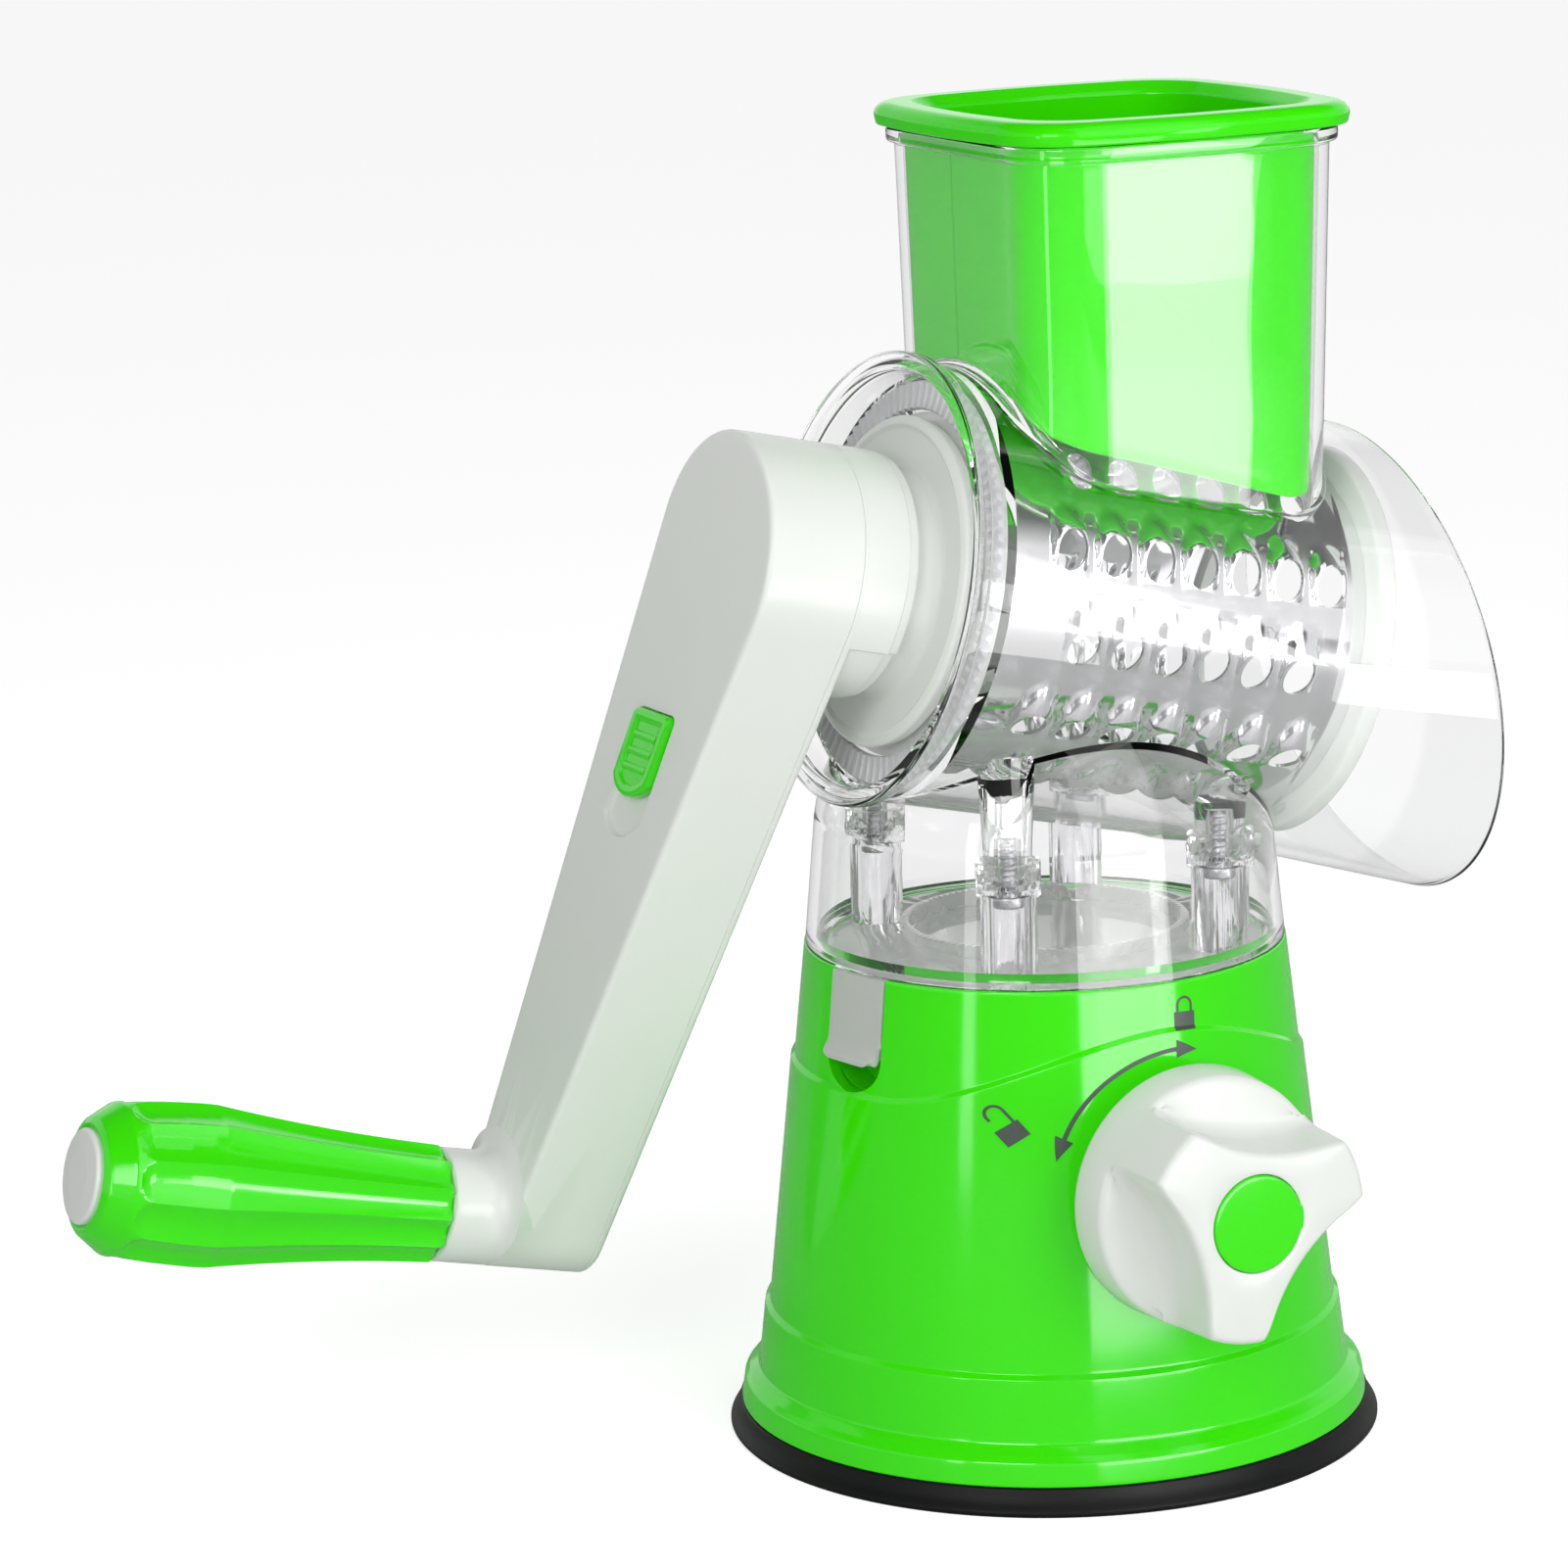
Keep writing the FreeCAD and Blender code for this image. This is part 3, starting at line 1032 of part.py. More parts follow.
def crank_arm():
    """Hollow arm with the button's recess, the posts for its screws and the neck for the grip."""
    outside = padded("arm_outside", arm_outline("0"), ARM_FRONT, ARM_INSIDE)
    inside = padded("arm_inside", arm_outline("arm_wall"), FACE_INSIDE, ARM_INSIDE)
    posts = [cylinder("arm_post_" + label, "arm_post", FACE_INSIDE, ARM_INSIDE, x, y)
             for label, x, y in ARM_SCREWS]
    pilots = [cylinder("arm_pilot_" + label, "arm_screw_radius", ARM_INSIDE + " - arm_screw_length",
                       ARM_INSIDE, x, y) for label, x, y in ARM_SCREWS]
    boss = cylinder("arm_spindle_boss", "spindle_boss", FACE_INSIDE, ARM_INSIDE, "arm_length")
    neck = cylinder("arm_neck", "arm_foot", NECK_FRONT, ARM_FRONT, "arm_length")
    bore = cylinder("arm_spindle_bore", "spindle_radius", NECK_FRONT, ARM_FRONT + " + spindle_root",
                    "arm_length")
    recess = padded("arm_recess", button_outline(
        "button_start - fit_gap", "button_length + button_travel + 2 * fit_gap",
        "button_width / 2 + fit_gap"), ARM_FRONT, ARM_FRONT + " + recess_depth")
    slot = box("arm_slot", ("button_start + neck_start - fit_gap",
                            "button_start + neck_start + neck_length + button_travel + fit_gap"),
               both("neck_width / 2 + fit_gap"), (ARM_FRONT, FACE_INSIDE))
    shell = fuse("arm_solid", cut("arm_shell", outside, inside), *posts, boss, neck)
    subpart(cut("arm", shell, recess, slot, bore, *pilots), "crank_arm", CRANK)


def crank_cover():
    """Back plate of the arm with the hub and the core round the square drive."""
    plate = padded("cover_plate", arm_outline("0"), ARM_INSIDE, ARM_BACK)
    hub = cylinder("hub", "hub_radius", ARM_BACK, HUB_FRONT)
    hollow = cylinder("hub_hollow", "hub_radius - hub_wall", ARM_INSIDE, HUB_FRONT + " - hub_wall")
    core_end = BOLT_FRONT + " + bolt_thickness + fit_gap"
    core = cylinder("hub_core_solid", "hub_core", core_end, HUB_FRONT)
    heads = [cylinder("cover_head_" + label, "arm_screw_head", ARM_BACK + " - arm_screw_head_height",
                      ARM_BACK, x, y) for label, x, y in ARM_SCREWS]
    ways = [cylinder("cover_way_" + label, "arm_screw_radius", ARM_INSIDE, ARM_BACK, x, y)
            for label, x, y in ARM_SCREWS]
    shell = cut("cover_shell", fuse("cover_solid", plate, hub), hollow, *heads, *ways)
    hole = square_way("cover_hole", core_end, HUB_FRONT)
    subpart(cut("cover", fuse("cover_with_core", shell, core), hole), "crank_cover", CRANK)


def arm_screws():
    """Four screws through the cover into the arm's posts."""
    seat = ARM_BACK + " - arm_screw_head_height"
    screws = [fuse("arm_screw_" + label,
                   cylinder("arm_screw_head_" + label, "arm_screw_head", seat, ARM_BACK, x, y),
                   cylinder("arm_screw_shank_" + label, "arm_screw_radius",
                            ARM_INSIDE + " - arm_screw_length", seat, x, y))
              for label, x, y in ARM_SCREWS]
    subpart(fuse("arm_screw_set", *screws), "arm_screws", CRANK)


def latch_bolt():
    """Bar behind the button that locks the arm on the square drive."""
    bar = box("bolt_bar", ("bolt_tip", "bolt_tail"), both("bolt_width / 2"),
              (BOLT_FRONT, BOLT_FRONT + " + bolt_thickness"))
    subpart(fuse("bolt", bar), "latch_bolt", CRANK, at("bolt_tip", "-(bolt_width / 2)", BOLT_FRONT))


def slide_button():
    """Button in the arm's face with its ribs and the neck down to the bolt."""
    top = ARM_FRONT + " - button_rise"
    cap = padded("button_cap", button_outline("button_start", "button_length", "button_width / 2"),
                 top, ARM_FRONT + " + recess_depth - fit_gap")
    neck = box("button_neck", ("button_start + neck_start", "button_start + neck_start + neck_length"),
               both("neck_width / 2"), (ARM_FRONT, BOLT_FRONT))
    ribs = []
    for index in range(int(number("button_ribs"))):
        middle = f"button_start + button_length * {index + 1} / (button_ribs + 2)"
        ribs.append(box(f"button_rib_{index}", (middle + " - button_rib", middle + " + button_rib"),
                        both("button_width * 0.35"), (top + " - button_rib", top)))
    subpart(fuse("button", cap, neck, *ribs), "slide_button", CRANK)


# ---- grip --------------------------------------------------------------------------------------

def handle_spindle():
    """Steel spindle fixed in the arm's neck."""
    rod = cylinder("spindle_rod", "spindle_radius", SPINDLE_FRONT, ARM_FRONT + " + spindle_root")
    pilot = cylinder("spindle_pilot", "spindle_screw_radius", SPINDLE_FRONT,
                     SPINDLE_FRONT + " + spindle_screw_length")
    subpart(cut("spindle", rod, pilot), "handle_spindle", CRANK, GRIP)


def spindle_washer():
    """Washer that keeps the grip on the spindle."""
    ring = tube("washer", "washer_radius", "spindle_screw_radius", SPINDLE_FRONT + " - washer_thickness",
                SPINDLE_FRONT)
    subpart(ring, "spindle_washer", CRANK, GRIP)


def spindle_screw():
    """Screw that holds the washer."""
    made = screw("spindle_bolt", "spindle_screw_head", "spindle_screw_head_height", "spindle_screw_radius",
                 "spindle_screw_length + washer_thickness", SPINDLE_FRONT + " - washer_thickness")
    subpart(made, "spindle_screw", CRANK, GRIP)


def handle_grip():
    """Turning grip with a long curve, hollow flutes and a recess in its end."""
    body = turned("grip_body", (
        ("spindle_radius + shaft_play", GRIP_BACK),
        ("grip_inner_radius", GRIP_BACK, "grip_belly_curve", "right"),
        ("grip_radius", GRIP_BACK + " - grip_belly"),
        ("grip_shoulder_radius", GRIP_BACK + " - grip_shoulder"),
        ("grip_edge_radius", GRIP_BACK + " - grip_edge"),
        ("grip_end_radius", GRIP_FRONT),
        ("grip_recess", GRIP_FRONT),
        ("grip_recess", GRIP_FRONT + " + grip_recess_depth"),
        ("spindle_radius + shaft_play", GRIP_FRONT + " + grip_recess_depth"),
    ))
    flutes = []
    lean = "asin((grip_radius - grip_inner_radius) / grip_belly)"
    count = int(number("flute_count"))
    for index in range(count):
        flute = cylinder(f"grip_flute_{index}", "flute_radius", "0", "grip_length * 1.1")
        put(flute, at("0", "0", GRIP_BACK, turn("z", f"360 * {index} / flute_count")),
            at("grip_inner_radius + flute_radius - flute_depth", "0", "0", turn("y", "180"),
               turn("y", f"-{lean}")))
        flutes.append(flute)
    subpart(cut("grip", body, *flutes), "handle_grip", CRANK, GRIP)


def grip_cap():
    """Disc that closes the grip's end."""
    disc = cylinder("grip_disc", "grip_cap_radius", GRIP_FRONT + " - grip_cap_height", GRIP_FRONT)
    spigot = cylinder("grip_disc_spigot", "grip_recess - fit_gap", GRIP_FRONT,
                      GRIP_FRONT + " + grip_cap_spigot")
    subpart(fuse("grip_end", disc, spigot), "grip_cap", CRANK, GRIP)


# ---- assembly ----------------------------------------------------------------------------------

for make in (suction_pad, base_shell, lift_frame, frame_screws, stem_foot, lift_yoke, lift_spring,
             cam_shaft, lock_knob, knob_cap, knob_screw, body_latch, latch_pin, latch_spring,
             floor_plate, housing_screws, clear_body, food_pusher, grater_drum, drum_drive_cap,
             drum_outlet_ring, bearing_disc, crank_arm, crank_cover, arm_screws, latch_bolt,
             slide_button, handle_spindle, spindle_washer, spindle_screw, handle_grip, grip_cap):
    make()
doc.recompute()

for item in doc.Objects:
    if "Invalid" in item.State or "Error" in item.State:
        raise RuntimeError(f"{item.Name} failed: {item.State}")
for item in SUBPARTS:
    if item.Shape.isNull() or not item.Shape.isValid() or not item.Shape.Solids:
        raise RuntimeError(f"{item.Label} has no valid shape")

os.makedirs("parts", exist_ok=True)
for item in SUBPARTS:
    item.Shape.exportStep(f"parts/{item.Label}.step")
    print(f"{item.Label}: {len(item.Shape.Solids)} solids, {item.Shape.Volume:.0f} mm3")
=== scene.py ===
import json
import math
from contextlib import contextmanager

import bmesh
import bpy
import numpy as np
from mathutils import Matrix, Vector


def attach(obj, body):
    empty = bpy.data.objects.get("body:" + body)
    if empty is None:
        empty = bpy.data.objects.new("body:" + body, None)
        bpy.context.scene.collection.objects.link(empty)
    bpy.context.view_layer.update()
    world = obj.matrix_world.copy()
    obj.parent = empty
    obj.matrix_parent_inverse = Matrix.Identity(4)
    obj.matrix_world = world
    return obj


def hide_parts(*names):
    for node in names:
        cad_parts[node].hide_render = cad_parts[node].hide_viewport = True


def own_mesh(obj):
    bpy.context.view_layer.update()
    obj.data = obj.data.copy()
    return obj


bl_info = {
    "name": "Drum Shredder",
    "version": (1, 0, 0),
    "blender": (4, 5, 0),
    "location": "View3D > Sidebar > Shredder",
    "description": "Detailed surfaces and finishes for a hand-cranked drum shredder",
    "category": "Object",
}

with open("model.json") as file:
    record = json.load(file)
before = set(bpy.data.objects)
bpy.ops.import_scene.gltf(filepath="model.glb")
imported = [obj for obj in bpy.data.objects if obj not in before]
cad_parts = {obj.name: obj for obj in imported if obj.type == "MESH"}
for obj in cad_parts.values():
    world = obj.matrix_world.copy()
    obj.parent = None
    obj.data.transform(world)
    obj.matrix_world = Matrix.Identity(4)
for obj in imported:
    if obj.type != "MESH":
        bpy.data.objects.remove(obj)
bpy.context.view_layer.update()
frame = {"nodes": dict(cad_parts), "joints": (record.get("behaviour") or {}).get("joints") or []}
JOINTS = {joint["name"]: joint for joint in frame["joints"]}
MM = 0.001


# ---- frames, in millimetres --------------------------------------------------------------------

class Axes:
    """A right-handed frame: its origin and the directions of its x, y and z."""

    def __init__(self, origin, x, z):
        x, z = np.array(x, float), np.array(z, float)
        self.origin = np.array(origin, float)
        self.turn = np.column_stack((x, np.cross(z, x), z))

    def world(self, points):
        return self.origin + points @ self.turn.T


AXIS = np.array(JOINTS["drum_turn"]["axis"])
SLOPE = -AXIS[2] / AXIS[0]
STEEP = math.sqrt(1 + SLOPE ** 2)
AXIS_ORIGIN = np.array(JOINTS["drum_turn"]["pos_m"]) / MM
ARM_DIRECTION = JOINTS["button_slide"]["axis"]
ARM_LENGTH = 147.5
KNOB_HEIGHT = 60
LATCH_TURN = math.radians(192)
MOUTH_LEAN = math.radians(9.2)
MOUTH_X, MOUTH_DROP = 75.5, 1.07

WORLD = Axes((0, 0, 0), (1, 0, 0), (0, 0, 1))
FRONT = Axes((0, 0, 0), (1, 0, 0), (0, -1, 0))
DRUM = Axes(AXIS_ORIGIN, (AXIS[2], 0, -AXIS[0]), AXIS)
CRANK = Axes(AXIS_ORIGIN, ARM_DIRECTION, AXIS)
GRIP = Axes(CRANK.world(np.array((ARM_LENGTH, 0, 0))), ARM_DIRECTION, AXIS)
KNOB = Axes((0, 0, KNOB_HEIGHT), (1, 0, 0), (0, -1, 0))
LATCH = Axes((0, 0, 0), (math.cos(LATCH_TURN), math.sin(LATCH_TURN), 0), (0, 0, 1))
MOUTH = Axes((MOUTH_X, 0, AXIS_ORIGIN[2] - MOUTH_X * SLOPE - MOUTH_DROP),
             (math.sin(MOUTH_LEAN), 0, -math.cos(MOUTH_LEAN)),
             (math.cos(MOUTH_LEAN), 0, math.sin(MOUTH_LEAN)))


# ---- curves ------------------------------------------------------------------------------------

LONG_RUN = 3.0


def rounded(corners, steps=5, closed=False):
    """A line through corners (a, b) or (a, b, radius), each radius drawn as an arc that touches
    both its neighbours, with a point close to each end of every long straight run."""
    corners = [tuple(corner) + (0.0,) * (3 - len(corner)) for corner in corners]
    count = len(corners)
    points = []
    for index, (a, b, radius) in enumerate(corners):
        here = np.array((a, b), float)
        if radius <= 0 or (not closed and index in (0, count - 1)):
            points.append(here)
            continue
        before = np.array(corners[index - 1][:2]) - here
        after = np.array(corners[(index + 1) % count][:2]) - here
        before, after = before / np.linalg.norm(before), after / np.linalg.norm(after)
        half = 0.5 * math.acos(np.clip(before @ after, -1, 1))
        reach = radius / math.tan(half)
        middle = (before + after) / np.linalg.norm(before + after)
        centre = here + middle * radius / math.sin(half)
        start, end = here + before * reach - centre, here + after * reach - centre
        share = np.linspace(0, 1, steps + 1)[:, None]
        chord = start * (1 - share) + end * share
        points.extend(centre + chord / np.linalg.norm(chord, axis=1)[:, None] * radius)
    points = np.array(points)
    if closed:
        points = np.vstack((points, points[:1]))
    held = [points[:1]]
    for start, end in zip(points[:-1], points[1:]):
        length = np.linalg.norm(end - start)
        if length > LONG_RUN:
            near = (end - start) * min(0.5 / length, 0.2)
            held.append(np.array((start + near, end - near)))
        held.append(end[None])
    held = np.vstack(held)
    return held[:-1] if closed else held


def dense(profile, longest):
    """A profile with points added so that no run is longer than that."""
    points = [profile[:1]]
    for start, end in zip(profile[:-1], profile[1:]):
        parts = max(int(math.ceil(np.linalg.norm(end - start) / longest)), 1)
        points.append(start + (end - start) * np.linspace(0, 1, parts + 1)[1:, None])
    return np.vstack(points)


def arc(start, end, radius, steps):
    """Points of a circle's short arc from start to end, its centre left of the way for a positive
    radius and right of it for a negative one."""
    start, end = np.array(start, float), np.array(end, float)
    chord = end - start
    side = np.array((-chord[1], chord[0])) / np.linalg.norm(chord) * math.copysign(1, radius)
    centre = (start + end) / 2 + side * math.sqrt(radius ** 2 - chord @ chord / 4)
    first, last = (math.atan2(*(point - centre)[::-1]) for point in (start, end))
    sweep = (last - first + math.pi) % (2 * math.pi) - math.pi
    angle = first + np.linspace(0, 1, steps + 1) * sweep
    ring = np.stack((np.cos(angle), np.sin(angle)), 1)
    return [tuple(point) for point in centre + abs(radius) * ring]


def circle(steps, first=0.0):
    """Angles once round, as a row."""
    return first + np.linspace(0, 2 * math.pi, steps, endpoint=False)[None]


def quarter(count, first=0.0):
    """Pairs of the sine and of 1 less the cosine, over a quarter turn from that share of it on."""
    angle = np.linspace(first, 1, count) * math.pi / 2
    return np.stack((np.sin(angle), 1 - np.cos(angle)), 1)


def smooth(value):
    """0 below 0, 1 above 1, and a smooth step between."""
    value = np.clip(value, 0, 1)
    return value * value * (3 - 2 * value)


HOPPER_CENTRE = 17.6


def square_outline(half, corner, bulge):
    """Points round a square with round corners and swelling sides. half, corner and bulge may be
    arrays over the rows of a grid: each point is a corner's centre plus the corner's radius along
    its direction, then moved outwards by the bulge times 1 less the square of its place on the
    side."""
    half, corner, bulge = (np.atleast_1d(item)[:, None] for item in (half, corner, bulge))
    bend = np.concatenate((np.linspace(0, math.pi / 2, 13), np.full(11, math.pi / 2)))
    angle = (np.arange(4)[:, None] * math.pi / 2 + bend).reshape(1, -1)
    run = np.tile(np.concatenate((np.zeros(13), np.linspace(0, 1, 13)[1:-1])), 4)[None]
    x_side, y_side = (np.repeat(sides, 24)[None] for sides in ((1, -1, -1, 1), (1, 1, -1, -1)))
    reach = half - corner
    swell = corner + bulge * (1 - (2 * run - 1) ** 2)
    x = (x_side - run * 2 * np.sin(angle)) * reach + swell * np.cos(angle)
    y = (y_side + run * 2 * np.cos(angle)) * reach + swell * np.sin(angle)
    return x + HOPPER_CENTRE, y


# ---- pieces ------------------------------------------------------------------------------------

DOUBLES = 2e-6


@contextmanager
def edited(mesh):
    """The mesh as a bmesh, written back afterwards."""
    work = bmesh.new()
    work.from_mesh(mesh)
    yield work
    work.to_mesh(mesh)
    work.free()


def merged(work):
    """Merges double points and drops faces without an area."""
    bmesh.ops.remove_doubles(work, verts=work.verts, dist=DOUBLES)
    bmesh.ops.dissolve_degenerate(work, edges=work.edges, dist=DOUBLES / 2)


def shaded(mesh, angle):
    """Smooth shading, with the edges that are sharper than the angle kept."""
    mesh.shade_smooth()
    mesh.set_sharp_from_angle(angle=math.radians(angle))


def linked(name, data):
    made = bpy.data.objects.new(name, data)
    bpy.context.scene.collection.objects.link(made)
    return made


class Piece:
    """Gathers sheets of points, in millimetres, into one mesh."""

    def __init__(self, name, axes=WORLD):
        self.name, self.axes = name, axes
        self.points, self.faces, self.total = [], [], 0

    def grid(self, x, y, z, around=True, closed=False):
        """A sheet from arrays that have, or stretch to, one shape: rows are joined in turn, and
        columns run on to the first again where around is set; closed joins the last row to the
        first."""
        points = np.stack(np.broadcast_arrays(x, y, z), -1).astype(float)
        rows, columns = points.shape[:2]
        index = np.arange(rows * columns).reshape(rows, columns) + self.total
        if around:
            index = np.hstack((index, index[:, :1]))
        if closed:
            index = np.vstack((index, index[:1]))
        quads = np.stack((index[:-1, :-1], index[:-1, 1:], index[1:, 1:], index[1:, :-1]), -1)
        self.points.append(self.axes.world(points.reshape(-1, 3)))
        self.faces.append(quads.reshape(-1, 4))
        self.total += rows * columns
        return self

    def polar(self, radius, angle, height, x=0.0, y=0.0, **options):
        """A sheet from radii, angles and heights about a line at (x, y)."""
        return self.grid(x + radius * np.cos(angle), y + radius * np.sin(angle), height, **options)

    def turned(self, profile, steps=160, **options):
        """A profile of (radius, height) carried round z."""
        profile = np.array(profile, float)
        return self.polar(profile[:, :1], circle(steps), profile[:, 1:], **options)

    def made(self, angle=32, tidy=True):
        """The object, with doubles merged, faces outwards and edges sharper than the angle kept."""
        mesh = bpy.data.meshes.new(self.name)
        points = np.vstack(self.points) * MM
        faces = np.vstack(self.faces)
        mesh.vertices.add(len(points))
        mesh.vertices.foreach_set("co", points.ravel())
        mesh.loops.add(faces.size)
        mesh.loops.foreach_set("vertex_index", faces.ravel().astype(np.int32))
        mesh.polygons.add(len(faces))
        mesh.polygons.foreach_set("loop_start", np.arange(0, faces.size, 4, dtype=np.int32))
        mesh.update(calc_edges=True)
        if tidy:
            with edited(mesh) as work:
                merged(work)
                bmesh.ops.recalc_face_normals(work, faces=work.faces)
        mesh.validate()
        shaded(mesh, angle)
        return linked(self.name, mesh)


def prism(name, axes, outline, low, high):
    """A closed outline of (x, y) points carried along z from low to high."""
    outline = np.array(outline, float)
    middle = outline.mean(0)
    places = middle + (outline - middle) * np.array((0.0, 1.0, 1.0, 0.0))[:, None, None]
    heights = np.array((low, low, high, high))[:, None]
    return Piece(name, axes).grid(places[..., 0], places[..., 1], heights).made()


def applied(made):
    """Makes the object's modifiers part of its mesh."""
    shown = made.evaluated_get(bpy.context.evaluated_depsgraph_get())
    mesh = bpy.data.meshes.new_from_object(shown)
    made.modifiers.clear()
    old, made.data = made.data, mesh
    bpy.data.meshes.remove(old)


def joined(made, tool, operation, angle=32):
    """Unites the object with, or cuts it by, a tool object, which is then removed."""
    change = made.modifiers.new(operation.title(), "BOOLEAN")
    change.operation, change.object, change.solver = operation, tool, "EXACT"
    bpy.context.view_layer.update()
    applied(made)
    bpy.data.objects.remove(tool)
    shaded(made.data, angle)


def softened(made, width, angle, segments=2):
    """Rounds the sharp edges that are left."""
    bevel = made.modifiers.new("Edges", "BEVEL")
    bevel.width, bevel.segments = width * MM, segments
    bevel.limit_method, bevel.angle_limit = "ANGLE", math.radians(angle)
    bevel.harden_normals = True


def levelled(made, weight):
    """Shades flat faces flat beside rounded edges."""
    level = made.modifiers.new("Flat faces", "WEIGHTED_NORMAL")
    level.weight, level.keep_sharp = weight, True


def painted(made, finish):
    made.data.materials.clear()
    made.data.materials.append(material(finish))


def dressed(made, body, finish, slot, *nodes):
    """Gives a new piece its finish, its body and the nodes that it stands for."""
    painted(made, finish)
    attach(made, body)
    if nodes:
        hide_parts(*nodes)
    return made


def smoothed(node, body, finish, slot, bevel=0.0):
    """A copy of a frame node with its doubles merged and its round faces shaded smooth."""
    made = frame["nodes"][node].copy()
    made.data = made.data.copy()
    made.name = node + "_smooth"
    made.parent = None
    for key in list(made.keys()):
        del made[key]
    bpy.context.scene.collection.objects.link(made)
    with edited(made.data) as work:
        merged(work)
    shaded(made.data, 30)
    if bevel:
        softened(made, bevel, 50)
    levelled(made, 100)
    return dressed(made, body, finish, slot, node)


# ---- finishes ----------------------------------------------------------------------------------

class Value:
    """A node's output that takes part in sums: each operator adds a Math node."""

    def __init__(self, shader, socket):
        self.shader, self.socket = shader, socket

    def math(self, operation, other, swap=False):
        terms = (other, self) if swap else (self, other)
        return self.shader.node("Math", dict(enumerate(terms)), operation=operation)

    def __add__(self, other):
        return self.math("ADD", other)

    def __rsub__(self, other):
        return self.math("SUBTRACT", other, swap=True)

    def __mul__(self, other):
        return self.math("MULTIPLY", other)


class Shader:
    """A material's tree, or the world's, built from node calls."""

    def __init__(self, owner):
        owner.use_nodes = True
        self.tree = owner.node_tree
        self.tree.nodes.clear()

    def node(self, kind, sockets=None, out=0, **settings):
        """An output of a new node: its settings are set first, then its sockets' values or
        links."""
        made = self.tree.nodes.new("ShaderNode" + kind)
        for name, value in settings.items():
            setattr(made, name, value)
        for name, value in (sockets or {}).items():
            if isinstance(value, Value):
                self.tree.links.new(value.socket, made.inputs[name])
            else:
                made.inputs[name].default_value = value
        return Value(self, made.outputs[out])

    def ends(self, value, kind="OutputMaterial"):
        output = self.tree.nodes.new("ShaderNode" + kind)
        self.tree.links.new(value.socket, output.inputs["Surface"])

    def place(self):
        return self.node("TexCoord", out="Object")

    def noise(self, scale, detail=2.0, rough=0.5, place=None):
        """Noise whose scale is in waves per millimetre."""
        return self.node("TexNoise", {"Vector": place or self.place(), "Scale": scale / MM,
                                      "Detail": detail, "Roughness": rough}, "Fac")

    def stretched(self, along, places):
        """Object coordinates seen in a frame, each then multiplied by its own number."""
        return self.node("Mapping", {
            "Vector": self.place(), "Location": tuple(along.origin * MM),
            "Rotation": tuple(Matrix(along.turn.tolist()).to_euler()),
            "Scale": tuple(1 / part for part in places)}, vector_type="TEXTURE")

    def bump(self, height, depth, normal=None):
        """A Bump node whose depth is in millimetres."""
        sockets = {"Height": height, "Distance": depth * MM, "Strength": 1.0}
        if normal is not None:
            sockets["Normal"] = normal
        return self.node("Bump", sockets)

    def mixed(self, share, first, second):
        """A colour between two colours."""
        return self.node("Mix", {"Factor": share, 6: first, 7: second}, 2, data_type="RGBA")

    def between(self, share, first, second):
        """A shader between two shaders."""
        return self.node("MixShader", {0: share, 1: first, 2: second})

    def grey(self, kind, shade, **sockets):
        """A plain shader of one grey."""
        return self.node(kind, {"Color": (shade, shade, shade, 1), **sockets})

    def ramp(self, value, stops):
        """Greys at places along a value from 0 to 1."""
        made = self.node("ValToRGB", {0: value})
        elements = made.socket.node.color_ramp.elements
        while len(elements) < len(stops):
            elements.new(1.0)
        for element, (place, shade) in zip(elements, stops):
            element.position, element.color = place, (shade, shade, shade, 1)
        return made


def linear(*shade):
    """A screen colour from 0 to 255 as the linear colour that shaders take."""
    shade = np.array(shade, float) / 255
    low = shade <= 0.04045
    return tuple(np.where(low, shade / 12.92, ((shade + 0.055) / 1.055) ** 2.4)) + (1.0,)


# Moulded plastics: colour or the panel's name for it, share of that colour, roughness, waves per
# millimetre of the grain, depth of the ripple, specular level and fleck.
PLASTICS = {
    "green_gloss": ("green", 1.0, 0.1, 0.6, 0.012, 0.5, 0.04),
    "green_cup": ("green", 1.0, 0.08, 0.4, 0.006, 0.24, 0.04),
    "white_gloss": ("white", 1.0, 0.24, 0.8, 0.012, 0.25, 0.015),
    # The latch's white at 0.68 of the panel's white is painted shade, for the shade that the latch
    # sits in.
    "latch_white": ("white", 0.68, 0.3, 0.8, 0.012, 0.2, 0.015),
    "frame_matt": (linear(200, 203, 200), 1.0, 0.5, 2.0, 0.02, 0.4, 0.04),
    "ribbed_grey": (linear(206, 207, 209), 1.0, 0.3, 1.0, 0.01, 0.4, 0.03),
}


def plastic(shader, colour, share, rough, grain, depth, level, fleck):
    """A faint uneven tone, a gloss that varies a little from place to place and a surface that is
    not quite flat."""
    if isinstance(colour, str):
        colour = getattr(bpy.context.scene.shredder_colours, colour)
    dark, light = ((*(min(part * share * (1 + side * fleck), 1.0) for part in colour[:3]), 1.0)
                   for side in (-1, 1))
    ripple = shader.noise(0.09, 1.0) * 0.8 + shader.noise(grain) * 0.2
    return shader.node("BsdfPrincipled", {
        "Base Color": shader.mixed(shader.noise(0.02), dark, light),
        "Roughness": shader.noise(0.15, 3.0) * (rough * 0.5) + rough * 0.75,
        "Specular IOR Level": level, "Normal": shader.bump(ripple, depth),
    })


def rubber(shader):
    """Black rubber with a fine grain, duller where dust settles."""
    dust = shader.noise(0.05, 4.0)
    return shader.node("BsdfPrincipled", {
        "Base Color": shader.mixed(dust, linear(7, 7, 8), linear(16, 16, 17)),
        "Roughness": dust * 0.2 + 0.35, "Specular IOR Level": 0.14,
        "Normal": shader.bump(shader.noise(2.5, 4.0), 0.03),
    })


HOOD_STARTS = 61


